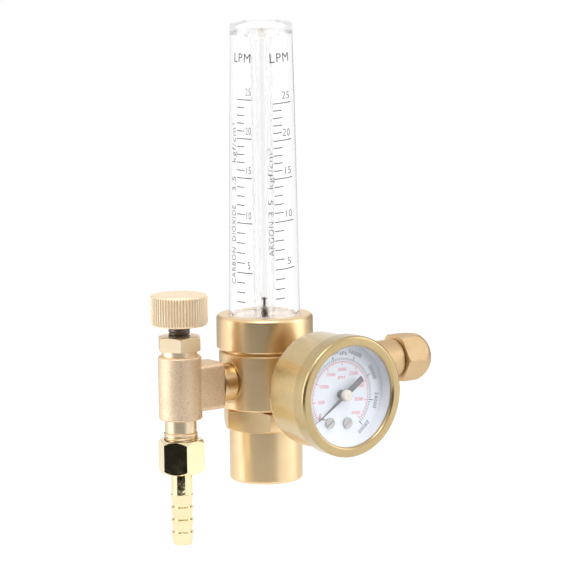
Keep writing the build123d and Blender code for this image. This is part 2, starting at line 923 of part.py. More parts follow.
# Hub cap pressed on the arbor in front of the pointer
with BuildPart() as pointer_hub:
    with BuildSketch(gauge_level(pointer_front)):
        Circle(hub_cap_r)
    extrude(amount=hub_height)
    chamfer(pointer_hub.faces().sort_by(Axis.Y)[0].edges(), hub_bevel)
    with BuildSketch(gauge_level(pointer_front)):
        Circle(spindle_r)
    extrude(amount=hub_height, mode=Mode.SUBTRACT)
finish_piece(pointer_hub, "pointer_hub")

# Arbor with the pinion, carried in the two movement plates
pinion_back = block_front + movement_plate + face_gap
arbor_back = block_front + thread_gap
with BuildPart() as arbor:
    with BuildSketch(gauge_level(arbor_back)):
        Circle(arbor_r)
    extrude(amount=pointer_front - arbor_back)
    with BuildSketch(gauge_level(pointer_front)):
        Circle(spindle_r)
    extrude(amount=hub_height)
    with BuildSketch(gauge_level(pinion_back)):
        Circle(pinion_r)
    extrude(amount=pinion_height)
finish_piece(arbor, "arbor")

# Gauge socket: thread, shoulder, square for the spanner, inner flange and a block for the tube
with BuildPart() as gauge_socket:
    with BuildSketch(gauge_level(port_face - port_depth + face_gap)):
        Circle(gauge_thread_r)
    extrude(amount=port_depth - face_gap)
    with BuildSketch(gauge_level(port_face)):
        Circle(shoulder_r)
    extrude(amount=shoulder_height)
    with BuildSketch(gauge_level(port_face + shoulder_height)):
        RectangleRounded(square_af, square_af, edge_break)
    extrude(amount=case_back - port_face - shoulder_height)
    with BuildSketch(gauge_level(case_back)):
        Circle(shoulder_r - thread_gap)
    extrude(amount=case_wall)
    with BuildSketch(gauge_level(inner_back)):
        Circle(flange_r)
    extrude(amount=flange_height)
    with BuildSketch(gauge_level(inner_back + flange_height)):
        with Locations((0, (block_width / 2 - block_drop) / 2)):
            Rectangle(block_width, block_drop + block_width / 2)
    extrude(amount=block_height)
    with BuildSketch(gauge_level(port_face - port_depth + face_gap)):
        Circle(passage_r)
    extrude(amount=inner_back + flange_height - port_face + port_depth, mode=Mode.SUBTRACT)
finish_piece(gauge_socket, "gauge_socket")

# Bourdon tube: a flattened tube bent to an open ring, brazed into the foot of the block
bourdon_level = inner_back + flange_height + block_height / 2
with BuildPart() as bourdon_tube:
    with BuildLine(gauge_level(bourdon_level)):
        bend = CenterArc((0, 0), bourdon_coil_r, bourdon_start_angle, bourdon_wrap_angle)
    with BuildSketch(Plane(origin=bend @ 0, z_dir=bend % 0, x_dir=(0, -1, 0))):
        SlotOverall(bourdon_axial, bourdon_radial)
    sweep()
    with BuildSketch(gauge_level(inner_back + flange_height)):
        with Locations((0, -block_drop / 2)):
            Rectangle(block_width, block_drop)
    extrude(amount=block_height, mode=Mode.SUBTRACT)
finish_piece(bourdon_tube, "bourdon_tube")

# Movement frame: two plates on pillars, with holes for the arbor and the sector's pivot
sector_x = -(sector_r + pinion_r + gear_gap)
plate_centre = (movement_up - movement_down) / 2
plate_length = movement_up + movement_down
pillar_spots = (
    (movement_width / 2 - pillar_r, movement_up - pillar_r),
    (-movement_width / 2 + pillar_r, movement_up - pillar_r),
    (movement_width / 2 - pillar_r, -movement_down + pillar_r),
    (-movement_width / 2 + pillar_r, -movement_down + pillar_r),
)
with BuildPart() as movement_frame:
    for level in (block_front, front_plate_back):
        with BuildSketch(gauge_level(level)):
            with Locations((0, plate_centre)):
                Rectangle(movement_width, plate_length)
        extrude(amount=movement_plate)
    with BuildSketch(gauge_level(block_front)):
        with Locations(*pillar_spots):
            Circle(pillar_r)
    extrude(amount=front_plate_front - block_front)
    with BuildSketch(gauge_level(front_plate_front)):
        with Locations((-dial_screw_x, -dial_screw_drop), (dial_screw_x, -dial_screw_drop)):
            Circle(dial_screw_head_r)
    extrude(amount=dial_back - front_plate_front)
    with BuildSketch(gauge_level(front_plate_front)):
        with Locations((-dial_screw_x, -dial_screw_drop), (dial_screw_x, -dial_screw_drop)):
            Circle(dial_screw_r + thread_gap)
    extrude(amount=dial_back - front_plate_front, mode=Mode.SUBTRACT)
    with BuildSketch(gauge_level(block_front)):
        Circle(arbor_r + run_gap)
        with Locations((sector_x, 0)):
            Circle(arbor_r + run_gap)
    extrude(amount=front_plate_front - block_front, mode=Mode.SUBTRACT)
finish_piece(movement_frame, "movement_frame")

# Sector gear on its pivot, at the end of its swing where the pointer stands at zero
sector_swing = pointer_sweep_angle / gear_ratio
sector_rest = -sector_swing / 2
sector_back = pinion_back + (pinion_height - sector_height) / 2
sector_front = sector_back + sector_height
tail_turn = math.radians(180 + sector_rest)
tail_x = sector_x + sector_arm * math.cos(tail_turn)
tail_z = sector_arm * math.sin(tail_turn)
with BuildPart() as sector_gear:
    with BuildSketch(gauge_level(sector_back)):
        with BuildLine():
            rim = CenterArc((sector_x, 0), sector_r, sector_rest - sector_angle / 2, sector_angle)
            Line((sector_x, 0), rim @ 0)
            Line((sector_x, 0), rim @ 1)
        make_face()
        with Locations((sector_x, 0)):
            Circle(sector_hub_r)
        with Locations(Location((sector_x, 0), 180 + sector_rest)):
            with Locations((sector_arm / 2, 0)):
                SlotCenterToCenter(sector_arm, link_width)
    extrude(amount=sector_height)
    with BuildSketch(gauge_level(block_front + movement_plate + face_gap)):
        with Locations((sector_x, 0)):
            Circle(sector_hub_r)
    extrude(amount=movement_gap - 2 * face_gap)
    with BuildSketch(gauge_level(arbor_back)):
        with Locations((sector_x, 0)):
            Circle(arbor_r)
    extrude(amount=front_plate_front - arbor_back)
finish_piece(sector_gear, "sector_gear")

# Block on the bourdon tube's tip, and the link from it to the sector's tail
tip_turn = math.radians(bourdon_start_angle + bourdon_wrap_angle)
tip_x = bourdon_coil_r * math.cos(tip_turn)
tip_z = bourdon_coil_r * math.sin(tip_turn)
link_back = sector_front + face_gap
with BuildPart() as tip_block:
    with BuildSketch(gauge_level(bourdon_level + bourdon_axial / 2)):
        with Locations((tip_x, tip_z)):
            Rectangle(tip_block_side, tip_block_side)
    extrude(amount=link_back - bourdon_level - bourdon_axial / 2)
finish_piece(tip_block, "tip_block")

link_length = math.hypot(tail_x - tip_x, tail_z - tip_z)
link_turn = math.degrees(math.atan2(tail_z - tip_z, tail_x - tip_x))
with BuildPart() as link:
    with BuildSketch(gauge_level(link_back)):
        with Locations(Location(((tip_x + tail_x) / 2, (tip_z + tail_z) / 2), link_turn)):
            SlotCenterToCenter(link_length, link_width)
    extrude(amount=link_height)
finish_piece(link, "link")

# Levels on the needle valve, up from the port axis
valve_bottom = -valve_body_below
valve_top = valve_body_above
seat_level = -chamber_floor
drop_level = seat_level - seat_height
gland_floor = packing_floor + packing_height
gland_hex_bottom = valve_top + gland_collar_height
gland_top = gland_hex_bottom + gland_hex_height
knob_bottom = gland_top + stem_show
knob_top = knob_bottom + knob_height
arm_x = column_x - arm_end

# Valve body: a forged tee with a block-shaped arm, bored for the stem, the packing and the seat
with BuildPart() as valve_body:
    with BuildSketch(valve_level(-arm_height / 2)):
        with Locations(((arm_x - valve_x) / 2, 0)):
            Rectangle(arm_x - valve_x, arm_width)
    extrude(amount=arm_height)
    fillet(valve_body.edges().filter_by(Axis.X), arm_fillet)
    with BuildSketch(valve_level(valve_bottom)):
        Circle(valve_body_r)
    extrude(amount=valve_top - valve_bottom)
    ends = valve_body.faces().filter_by(Axis.Z).sort_by(Axis.Z)
    chamfer(ends[0].edges() + ends[-1].edges(), edge_break)
    chamfer(valve_body.faces().filter_by(Axis.X).sort_by(Axis.X)[-1].edges(), edge_break)
    for level, radius, height in (
        (gland_floor, gland_thread_r + thread_gap, valve_top - gland_floor),
        (packing_floor, packing_r + thread_gap, packing_height),
        (seat_level, chamber_r, packing_floor - seat_level),
        (drop_level, seat_hole_r, seat_height),
        (valve_bottom, drop_r, drop_level - valve_bottom),
        (valve_bottom, adapter_root_r + thread_gap, adapter_root_length),
    ):
        with BuildSketch(valve_level(level)):
            Circle(radius)
        extrude(amount=height, mode=Mode.SUBTRACT)
    with BuildSketch(port_level(arm_x)):
        Circle(outlet_thread_r + thread_gap)
    extrude(amount=-nipple_thread_length, mode=Mode.SUBTRACT)
    with BuildSketch(port_level(arm_x)):
        Circle(nipple_bore_r)
    extrude(amount=valve_x - arm_x, mode=Mode.SUBTRACT)
finish_piece(valve_body, "valve_body")

# Nipple that screws into the body's outlet port and the valve body's arm
nipple_end = column_x - port_face
with BuildPart() as outlet_nipple:
    revolve(
        outline(
            port_side,
            (arm_x - nipple_thread_length + face_gap, nipple_bore_r),
            (arm_x - nipple_thread_length + face_gap, outlet_thread_r),
            (arm_x, outlet_thread_r),
            (arm_x, nipple_r - edge_break),
            (arm_x + edge_break, nipple_r),
            (nipple_end - edge_break, nipple_r),
            (nipple_end, nipple_r - edge_break),
            (nipple_end, outlet_thread_r),
            (nipple_end + port_depth - face_gap, outlet_thread_r),
            (nipple_end + port_depth - face_gap, nipple_bore_r),
        ),
        axis=port_axis,
    )
    with BuildSketch(Plane((column_x, 0, 0))):
        with Locations((-return_offset, 0)):
            Circle(return_r)
    extrude(amount=outlet_thread_r, mode=Mode.SUBTRACT)
finish_piece(outlet_nipple, "outlet_nipple")

# Packing ring round the stem
with BuildPart() as packing:
    with BuildSketch(valve_level(packing_floor)):
        Circle(packing_r)
        Circle(stem_shank_r + run_gap, mode=Mode.SUBTRACT)
    extrude(amount=packing_height)
finish_piece(packing, "packing")

# Gland nut: a hexagon over a round collar, tapped for the stem
with BuildPart() as gland_nut:
    extrude(hexagon(valve_level(gland_hex_bottom), gland_hex_af), amount=gland_hex_height)
    gland_corner_r = corner_radius(gland_hex_af)
    gland_bevel = gland_corner_r - gland_hex_af / 2
    revolve(
        outline(
            valve_side,
            (0, gland_hex_bottom),
            (gland_corner_r - gland_bevel / 2, gland_hex_bottom),
            (gland_corner_r, gland_hex_bottom + gland_bevel / 3),
            (gland_corner_r, gland_top - gland_bevel / 2),
            (gland_hex_af / 2, gland_top),
            (0, gland_top),
        ),
        axis=valve_axis,
        mode=Mode.INTERSECT,
    )
    with BuildSketch(valve_level(valve_top)):
        Circle(gland_collar_r)
    extrude(amount=gland_collar_height)
    with BuildSketch(valve_level(gland_floor)):
        Circle(gland_thread_r)
    extrude(amount=valve_top - gland_floor)
    with BuildSketch(valve_level(gland_floor)):
        Circle(stem_thread_r + run_gap)
    extrude(amount=gland_top - gland_floor, mode=Mode.SUBTRACT)
finish_piece(gland_nut, "gland_nut")

# Valve stem: a needle, a smooth shank through the packing, a thread and a spigot for the knob
stem_thread_bottom = gland_floor + face_gap
needle_shoulder = stem_shank_bottom - face_gap
spigot_top = knob_bottom + stem_spigot_length
with BuildPart() as valve_stem:
    revolve(
        outline(
            valve_side,
            (0, stem_needle_tip),
            (stem_needle_tip_r, stem_needle_tip),
            (stem_needle_r, needle_shoulder),
            (stem_needle_r, stem_shank_bottom),
            (stem_shank_r, stem_shank_bottom),
            (stem_shank_r, stem_thread_bottom),
            (stem_thread_r, stem_thread_bottom),
            (stem_thread_r, knob_bottom - face_gap),
            (stem_shank_r, knob_bottom - face_gap),
            (stem_shank_r, spigot_top),
            (0, spigot_top),
        ),
        axis=valve_axis,
    )
finish_piece(valve_stem, "valve_stem")

# Knob: straight knurling, bevelled rims, a recess below round its hub
with BuildPart() as knob:
    with BuildSketch(valve_level(knob_bottom)):
        Circle(knob_r)
        with PolarLocations(knob_r, knob_teeth):
            Rectangle(knurl_side, knurl_side, rotation=knurl_turn, mode=Mode.SUBTRACT)
    extrude(amount=knob_height)
    revolve(
        outline(
            valve_side,
            (0, knob_bottom),
            (knob_r - knob_bevel, knob_bottom),
            (knob_r, knob_bottom + knob_bevel),
            (knob_r, knob_top - knob_bevel),
            (knob_r - knob_bevel, knob_top),
            (0, knob_top),
        ),
        axis=valve_axis,
        mode=Mode.INTERSECT,
    )
    with BuildSketch(valve_level(knob_bottom)):
        Circle(knob_recess_r)
        Circle(knob_hub_r, mode=Mode.SUBTRACT)
    extrude(amount=knob_recess_depth, mode=Mode.SUBTRACT)
    with BuildSketch(valve_level(knob_bottom)):
        Circle(stem_shank_r + run_gap)
    extrude(amount=stem_spigot_length + face_gap, mode=Mode.SUBTRACT)
finish_piece(knob, "knob")

# Outlet adapter: a plain neck between two threads, ending in the union nut
adapter_shoulder = valve_bottom - adapter_neck_length
adapter_end = adapter_shoulder - adapter_thread_length
with BuildPart() as outlet_adapter:
    revolve(
        outline(
            valve_side,
            (adapter_bore_r, valve_bottom + adapter_root_length),
            (adapter_root_r, valve_bottom + adapter_root_length),
            (adapter_root_r, valve_bottom),
            (adapter_neck_r, valve_bottom),
            (adapter_neck_r, adapter_shoulder),
            (adapter_thread_r, adapter_shoulder - edge_break),
            (adapter_thread_r, adapter_end + edge_break),
            (adapter_thread_r - edge_break, adapter_end),
            (adapter_bore_r, adapter_end),
        ),
        axis=valve_axis,
    )
finish_piece(outlet_adapter, "outlet_adapter")

# Washer between the adapter and the hose tail
with BuildPart() as tail_washer:
    with BuildSketch(valve_level(adapter_end)):
        Circle(tail_collar_r)
        Circle(tail_bore_r, mode=Mode.SUBTRACT)
    extrude(amount=-tail_washer_height)
finish_piece(tail_washer, "tail_washer")

# Union nut: a bevelled hexagon with a floor that pulls the hose tail up
union_top = adapter_shoulder - thread_show
union_bottom = union_top - union_height
union_floor_top = union_bottom + union_floor
union_corner_r = corner_radius(union_af)
union_bevel = union_corner_r - union_af / 2
with BuildPart() as union_nut:
    extrude(hexagon(valve_level(union_bottom), union_af, union_turn), amount=union_height)
    revolve(
        outline(
            valve_side,
            (0, union_bottom),
            (union_af / 2, union_bottom),
            (union_corner_r, union_bottom + union_bevel),
            (union_corner_r, union_top - union_bevel),
            (union_af / 2, union_top),
            (0, union_top),
        ),
        axis=valve_axis,
        mode=Mode.INTERSECT,
    )
    with BuildSketch(valve_level(union_floor_top)):
        Circle(adapter_thread_r + thread_gap)
    extrude(amount=union_top - union_floor_top, mode=Mode.SUBTRACT)
    with BuildSketch(valve_level(union_bottom)):
        Circle(tail_shank_r + thread_gap)
    extrude(amount=union_floor, mode=Mode.SUBTRACT)
finish_piece(union_nut, "union_nut")

# Hose tail: a collar held in the union nut, a smooth shank and four barbs
tail_top = adapter_end - tail_washer_height
shank_end = union_bottom - tail_shank_length
tail_end = shank_end - barb_count * barb_pitch
tail_points = [
    (tail_bore_r, tail_top),
    (tail_collar_r, tail_top),
    (tail_collar_r, union_floor_top),
    (tail_shank_r, union_floor_top),
    (tail_shank_r, shank_end),
]
for barb in range(barb_count):
    barb_top = shank_end - barb * barb_pitch
    tail_points.append((barb_crest_r, barb_top))
    tail_points.append((barb_root_r, barb_top - barb_pitch))
tail_points.append((tail_bore_r, tail_end))
with BuildPart() as hose_tail:
    revolve(outline(valve_side, *tail_points), axis=valve_axis)
finish_piece(hose_tail, "hose_tail")

# Places along the inlet, back from the nut's mouth
nut_rear = -inlet_nut_length
nut_floor = -mouth_depth
stem_end = nut_rear - face_gap
stem_root = column_x + port_face
nut_corner_r = corner_radius(inlet_nut_af)
dome_length = math.sqrt(nut_corner_r**2 - mouth_r**2)

# Inlet stem: a bar with spanner flats, threaded into the body and bored for the filter
with BuildPart() as inlet_stem:
    revolve(
        outline(
            port_side,
            (stem_root - port_depth + face_gap, 0),
            (stem_root - port_depth + face_gap, inlet_thread_r),
            (stem_root, inlet_thread_r),
            (stem_root, inlet_stem_r),
            (stem_end - edge_break, inlet_stem_r),
            (stem_end, inlet_stem_r - edge_break),
            (stem_end, 0),
        ),
        axis=port_axis,
    )
    with BuildSketch(port_level(stem_root)):
        Circle(inlet_stem_r)
        Rectangle(flats_af, 2 * inlet_stem_r, mode=Mode.SUBTRACT)
    extrude(amount=flats_length, mode=Mode.SUBTRACT)
    for start, radius, length in (
        (stem_end, inlet_nipple_thread_r + thread_gap, inlet_nipple_thread_length),
        (stem_end - inlet_nipple_thread_length, filter_r + thread_gap, filter_length),
        (stem_end, inlet_bore_r, stem_end - stem_root + port_depth),
    ):
        with BuildSketch(port_level(start)):
            Circle(radius)
        extrude(amount=-length, mode=Mode.SUBTRACT)
finish_piece(inlet_stem, "inlet_stem")

# Sintered filter in the stem
with BuildPart() as inlet_filter:
    with BuildSketch(port_level(stem_end - inlet_nipple_thread_length)):
        Circle(filter_r)
    extrude(amount=-filter_length)
finish_piece(inlet_filter, "inlet_filter")

# Inlet nipple: screwed into the stem, with a head that carries the swivel nut
with BuildPart() as inlet_nipple:
    revolve(
        outline(
            port_side,
            (stem_end - inlet_nipple_thread_length, inlet_bore_r),
            (stem_end - inlet_nipple_thread_length, inlet_nipple_thread_r),
            (stem_end, inlet_nipple_thread_r),
            (stem_end, nipple_neck_r),
            (nut_floor + thread_gap, nipple_neck_r),
            (nut_floor + thread_gap, nipple_head_r),
            (nut_floor + nipple_head_length, nipple_head_r),
            (nut_floor + nipple_head_length, inlet_bore_r),
        ),
        axis=port_axis,
    )
finish_piece(inlet_nipple, "inlet_nipple")

# Washer on the nipple's head
washer_back = nut_floor + nipple_head_length
with BuildPart() as inlet_washer:
    with BuildSketch(port_level(washer_back)):
        Circle(inlet_washer_r)
        Circle(inlet_washer_hole_r, mode=Mode.SUBTRACT)
    extrude(amount=inlet_washer_length)
finish_piece(inlet_washer, "inlet_washer")

# Inlet nut: a hexagon that rounds off to a domed mouth, free to turn on the nipple
with BuildPart() as inlet_nut:
    extrude(hexagon(port_level(nut_rear), inlet_nut_af), amount=inlet_nut_length)
    nut_bevel = (nut_corner_r - inlet_nut_af / 2) / 2
    with BuildSketch(port_side) as dome_section:
        with BuildLine():
            Polyline(
                (0, 0),
                (nut_rear, 0),
                (nut_rear, nut_corner_r - nut_bevel),
                (nut_rear + nut_bevel, nut_corner_r),
                (-dome_length, nut_corner_r),
            )
            TangentArc((-dome_length, nut_corner_r), (0, mouth_r), tangent=(1, 0))
            Line((0, mouth_r), (0, 0))
        make_face()
    revolve(axis=port_axis, mode=Mode.INTERSECT)
    with BuildSketch(port_level(0)):
        Circle(mouth_thread_r)
    extrude(amount=-mouth_depth, mode=Mode.SUBTRACT)
    with BuildSketch(port_level(-mouth_thread_length)):
        Circle(mouth_thread_r + mouth_relief)
    extrude(amount=mouth_thread_length - mouth_depth, mode=Mode.SUBTRACT)
    with BuildSketch(port_level(nut_floor)):
        Circle(nipple_neck_r + run_gap)
    extrude(amount=nut_rear - nut_floor, mode=Mode.SUBTRACT)
finish_piece(inlet_nut, "inlet_nut")
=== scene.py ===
import bmesh
import bpy
import math
from mathutils import Matrix, Vector


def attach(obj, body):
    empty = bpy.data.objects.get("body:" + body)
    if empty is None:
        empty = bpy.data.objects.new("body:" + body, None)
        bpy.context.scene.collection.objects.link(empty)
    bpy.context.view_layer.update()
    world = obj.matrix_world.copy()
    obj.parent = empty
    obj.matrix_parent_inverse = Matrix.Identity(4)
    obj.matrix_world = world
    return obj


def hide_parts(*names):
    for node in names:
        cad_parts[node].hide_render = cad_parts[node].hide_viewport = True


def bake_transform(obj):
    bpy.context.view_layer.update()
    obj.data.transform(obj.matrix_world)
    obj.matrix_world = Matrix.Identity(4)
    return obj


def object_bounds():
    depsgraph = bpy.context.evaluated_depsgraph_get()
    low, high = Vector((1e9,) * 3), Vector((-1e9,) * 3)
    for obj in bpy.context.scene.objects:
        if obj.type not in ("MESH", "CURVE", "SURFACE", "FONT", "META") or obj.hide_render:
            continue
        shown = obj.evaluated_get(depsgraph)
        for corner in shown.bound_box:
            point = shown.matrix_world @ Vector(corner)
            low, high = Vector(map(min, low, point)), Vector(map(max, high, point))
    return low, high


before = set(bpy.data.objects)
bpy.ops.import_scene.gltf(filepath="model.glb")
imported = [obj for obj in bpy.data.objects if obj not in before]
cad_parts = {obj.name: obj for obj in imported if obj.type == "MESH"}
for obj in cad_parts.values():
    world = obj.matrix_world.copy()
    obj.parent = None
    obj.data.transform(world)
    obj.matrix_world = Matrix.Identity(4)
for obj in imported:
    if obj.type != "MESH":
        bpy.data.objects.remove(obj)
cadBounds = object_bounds()
mm = 0.001

# The upright axes that the pieces are turned about, in metres
columnX = -0.0738
valveX = -0.1116
print("frame loaded:", len(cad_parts), "nodes")

# Camera, as far off and as high as the one that took the photograph
camera = {
    "place": (-0.5836, -0.7088, 0.1587),
    "lookAt": (-0.06675, -0.00518, 0.0329),
    "lens": 150.0,
    "sensor": 36.0,
    "roll": -0.62,
}


def addObject(name, data):
    thing = bpy.data.objects.new(name, data)
    bpy.context.collection.objects.link(thing)
    return thing


def facing(place, target):
    back = Vector(place) - Vector(target)
    return Matrix.Translation(place) @ back.to_track_quat("Z", "Y").to_matrix().to_4x4()


def placeCamera(settings):
    data = bpy.data.cameras.new("camera")
    data.lens = settings["lens"]
    data.sensor_width = settings["sensor"]
    eye = addObject("camera", data)
    lean = Matrix.Rotation(math.radians(settings["roll"]), 4, "Z")
    eye.matrix_world = facing(settings["place"], settings["lookAt"]) @ lean
    bpy.context.scene.camera = eye


placeCamera(camera)
print("camera placed")

# Room: white to look at, softer to light the object with
room = {
    "ambient": 0.90,
    "floorDrop": 0.20,
    "floorHalf": 20.0,
    "floorColour": (0.45, 0.45, 0.45, 1),
    "floorGlow": 0.61,
}
lampTarget = (-0.075, 0.0, 0.03)
lamps = [
    {"name": "leftSoftbox", "place": (-1.00, 0.37, 0.24), "size": (0.7, 0.9), "watts": 4.2,
     "inReflections": True},
    {"name": "rightSoftbox", "place": (0.81, -0.65, 0.26), "size": (0.6, 0.9), "watts": 2.7,
     "inReflections": True},
    {"name": "topSoftbox", "place": (-0.46, -0.60, 1.10), "size": (0.8, 0.5), "watts": 5.8,
     "inReflections": True},
    {"name": "dialSoftbox", "place": (0.10, -1.20, 0.45), "size": (0.6, 0.6), "watts": 3.6,
     "inReflections": False},
]
# Cards round the object that its reflections show: dark behind the camera, grey behind the object.
# Angles are in degrees round the object, from 0 at its front to 90 on its right.
cards = [
    {"name": "frontCard", "from": -87, "to": 1, "distance": 0.95, "top": 0.35, "shade": 0.02,
     "steps": 16, "throughGlass": True},
    {"name": "rightCard", "from": 71, "to": 130, "distance": 1.30, "top": 0.60, "shade": 0.34,
     "steps": 10, "throughGlass": False},
    {"name": "leftCard", "from": 158, "to": 200, "distance": 1.30, "top": 0.60, "shade": 0.42,
     "steps": 8, "throughGlass": False},
]
cardLift = 2 * mm


def newPaint(name, empty=False):
    paint = bpy.data.materials.new(name)
    paint.use_nodes = True
    nodes, links = paint.node_tree.nodes, paint.node_tree.links
    if empty:
        nodes.clear()
    return paint, nodes, links


def seenRays(nodes, links):
    # 1 for rays that look at the room, from the camera, a reflection or through glass
    path = nodes.new("ShaderNodeLightPath")
    total = path.outputs["Is Camera Ray"]
    for ray in ("Is Glossy Ray", "Is Transmission Ray"):
        both = nodes.new("ShaderNodeMath")
        both.operation = "MAXIMUM"
        links.new(total, both.inputs[0])
        links.new(path.outputs[ray], both.inputs[1])
        total = both.outputs[0]
    return total


def buildWorld(settings):
    world = bpy.data.worlds.new("studio")
    bpy.context.scene.world = world
    world.use_nodes = True
    nodes, links = world.node_tree.nodes, world.node_tree.links
    nodes.clear()
    light = nodes.new("ShaderNodeBackground")
    light.inputs["Color"].default_value = (1, 1, 1, 1)
    light.inputs["Strength"].default_value = settings["ambient"]
    seen = nodes.new("ShaderNodeBackground")
    seen.inputs["Color"].default_value = (1, 1, 1, 1)
    seen.inputs["Strength"].default_value = 1.0
    mix = nodes.new("ShaderNodeMixShader")
    out = nodes.new("ShaderNodeOutputWorld")
    links.new(seenRays(nodes, links), mix.inputs[0])
    links.new(light.outputs[0], mix.inputs[1])
    links.new(seen.outputs[0], mix.inputs[2])
    links.new(mix.outputs[0], out.inputs[0])


def sheet(name, width, depth):
    data = bpy.data.meshes.new(name)
    x, y = width / 2, depth / 2
    data.from_pydata([(-x, -y, 0), (x, -y, 0), (x, y, 0), (-x, y, 0)], [], [(0, 1, 2, 3)])
    return addObject(name, data)


def buildFloor(settings):
    floor = sheet("floor", 2 * settings["floorHalf"], 2 * settings["floorHalf"])
    floor.location.z = cadBounds[0][2] - settings["floorDrop"]
    paint, nodes, links = newPaint("floorPaint", empty=True)
    matt = nodes.new("ShaderNodeBsdfDiffuse")
    matt.inputs["Color"].default_value = settings["floorColour"]
    glow = nodes.new("ShaderNodeEmission")
    strength = nodes.new("ShaderNodeMath")
    strength.operation = "MULTIPLY"
    strength.inputs[1].default_value = settings["floorGlow"]
    links.new(seenRays(nodes, links), strength.inputs[0])
    links.new(strength.outputs[0], glow.inputs["Strength"])
    both = nodes.new("ShaderNodeAddShader")
    out = nodes.new("ShaderNodeOutputMaterial")
    links.new(matt.outputs[0], both.inputs[0])
    links.new(glow.outputs[0], both.inputs[1])
    links.new(both.outputs[0], out.inputs[0])
    floor.data.materials.append(paint)


def buildLamp(lamp):
    data = bpy.data.lights.new(lamp["name"], "AREA")
    data.shape = "RECTANGLE"
    data.size, data.size_y = lamp["size"]
    data.energy = lamp["watts"]
    thing = addObject(lamp["name"], data)
    thing.visible_glossy = lamp["inReflections"]
    thing.matrix_world = facing(lamp["place"], lampTarget)


def buildCard(card):
    paint, nodes, links = newPaint(card["name"], empty=True)
    glow = nodes.new("ShaderNodeEmission")
    glow.inputs["Color"].default_value = (1, 1, 1, 1)
    glow.inputs["Strength"].default_value = card["shade"]
    out = nodes.new("ShaderNodeOutputMaterial")
    links.new(glow.outputs[0], out.inputs[0])
    points, faces = [], []
    bottom = cadBounds[0][2] - room["floorDrop"] + cardLift
    for step in range(card["steps"] + 1):
        turn = math.radians(card["from"] + (card["to"] - card["from"]) * step / card["steps"])
        x = lampTarget[0] + card["distance"] * math.sin(turn)
        y = lampTarget[1] - card["distance"] * math.cos(turn)
        points += [(x, y, bottom), (x, y, card["top"])]
        if step:
            faces.append((2 * step - 2, 2 * step, 2 * step + 1, 2 * step - 1))
    data = bpy.data.meshes.new(card["name"])
    data.from_pydata(points, [], faces)
    thing = addObject(card["name"], data)
    thing.visible_camera = False
    thing.visible_diffuse = False
    thing.visible_shadow = False
    thing.visible_transmission = card["throughGlass"]
    thing.data.materials.append(paint)


bpy.context.scene.view_settings.view_transform = "Standard"
buildWorld(room)
buildFloor(room)
for lamp in lamps:
    buildLamp(lamp)
for card in cards:
    buildCard(card)
print("room, lamps and cards set")


# Finishes. Marks run round an axis (rings), along it (drawn) or have no direction (grain).
drawnStretch = 0.02
cloudScale = 90


def vectorStep(nodes, links, operation, source, second=None, scale=None):
    step = nodes.new("ShaderNodeVectorMath")
    step.operation = operation
    if second is not None:
        step.inputs[1].default_value = second
    if scale is not None:
        step.inputs["Scale"].default_value = scale
    links.new(source, step.inputs[0])
    return step


def axisCoordinates(nodes, links, centre, axis):
    # object space turned so that Z runs along the piece's own axis
    turns = {"Z": (0, 0, 0), "Y": (math.pi / 2, 0, 0), "X": (0, -math.pi / 2, 0)}
    source = nodes.new("ShaderNodeTexCoord")
    shift = vectorStep(nodes, links, "SUBTRACT", source.outputs["Object"], second=centre)
    mapping = nodes.new("ShaderNodeMapping")
    mapping.vector_type = "POINT"
    mapping.inputs["Rotation"].default_value = turns[axis]
    links.new(shift.outputs[0], mapping.inputs["Vector"])
    return mapping.outputs[0]


def markVector(nodes, links, coordinates, marks, scale):
    if marks == "grain":
        return vectorStep(nodes, links, "SCALE", coordinates, scale=scale).outputs[0]
    if marks == "drawn":
        along = scale * drawnStretch
        return vectorStep(nodes, links, "MULTIPLY", coordinates, second=(scale, scale, along)).outputs[0]
    flat = vectorStep(nodes, links, "MULTIPLY", coordinates, second=(1, 1, 0))
    radius = vectorStep(nodes, links, "LENGTH", flat.outputs[0])
    split = nodes.new("ShaderNodeSeparateXYZ")
    links.new(coordinates, split.inputs[0])
    join = nodes.new("ShaderNodeCombineXYZ")
    links.new(radius.outputs["Value"], join.inputs[0])
    links.new(split.outputs["Z"], join.inputs[2])
    return vectorStep(nodes, links, "SCALE", join.outputs[0], scale=scale).outputs[0]


def noise(nodes, links, vector, scale, detail, roughness=0.5):
    texture = nodes.new("ShaderNodeTexNoise")
    texture.inputs["Scale"].default_value = scale
    texture.inputs["Detail"].default_value = detail
    texture.inputs["Roughness"].default_value = roughness
    links.new(vector, texture.inputs["Vector"])
    return texture.outputs["Fac"]


def remap(nodes, links, value, low, high, fromLow=0.3, fromHigh=0.7):
    ranged = nodes.new("ShaderNodeMapRange")
    ranged.inputs["From Min"].default_value = fromLow
    ranged.inputs["From Max"].default_value = fromHigh
    ranged.inputs["To Min"].default_value = low
    ranged.inputs["To Max"].default_value = high
    links.new(value, ranged.inputs["Value"])
    return ranged.outputs[0]


def blendColours(nodes, links, value, first, second):
    # first is a colour or the output of another node
    mix = nodes.new("ShaderNodeMix")
    mix.data_type = "RGBA"
    links.new(value, mix.inputs[0])
    if isinstance(first, bpy.types.NodeSocket):
        links.new(first, mix.inputs[6])
    else:
        mix.inputs[6].default_value = first
    mix.inputs[7].default_value = second
    return mix.outputs[2]


def roughen(nodes, links, shader, height, strength, depth, normal=None):
    bump = nodes.new("ShaderNodeBump")
    bump.inputs["Strength"].default_value = strength
    bump.inputs["Distance"].default_value = depth * mm
    links.new(height, bump.inputs["Height"])
    if normal is not None:
        links.new(normal, bump.inputs["Normal"])
    links.new(bump.outputs[0], shader.inputs["Normal"])


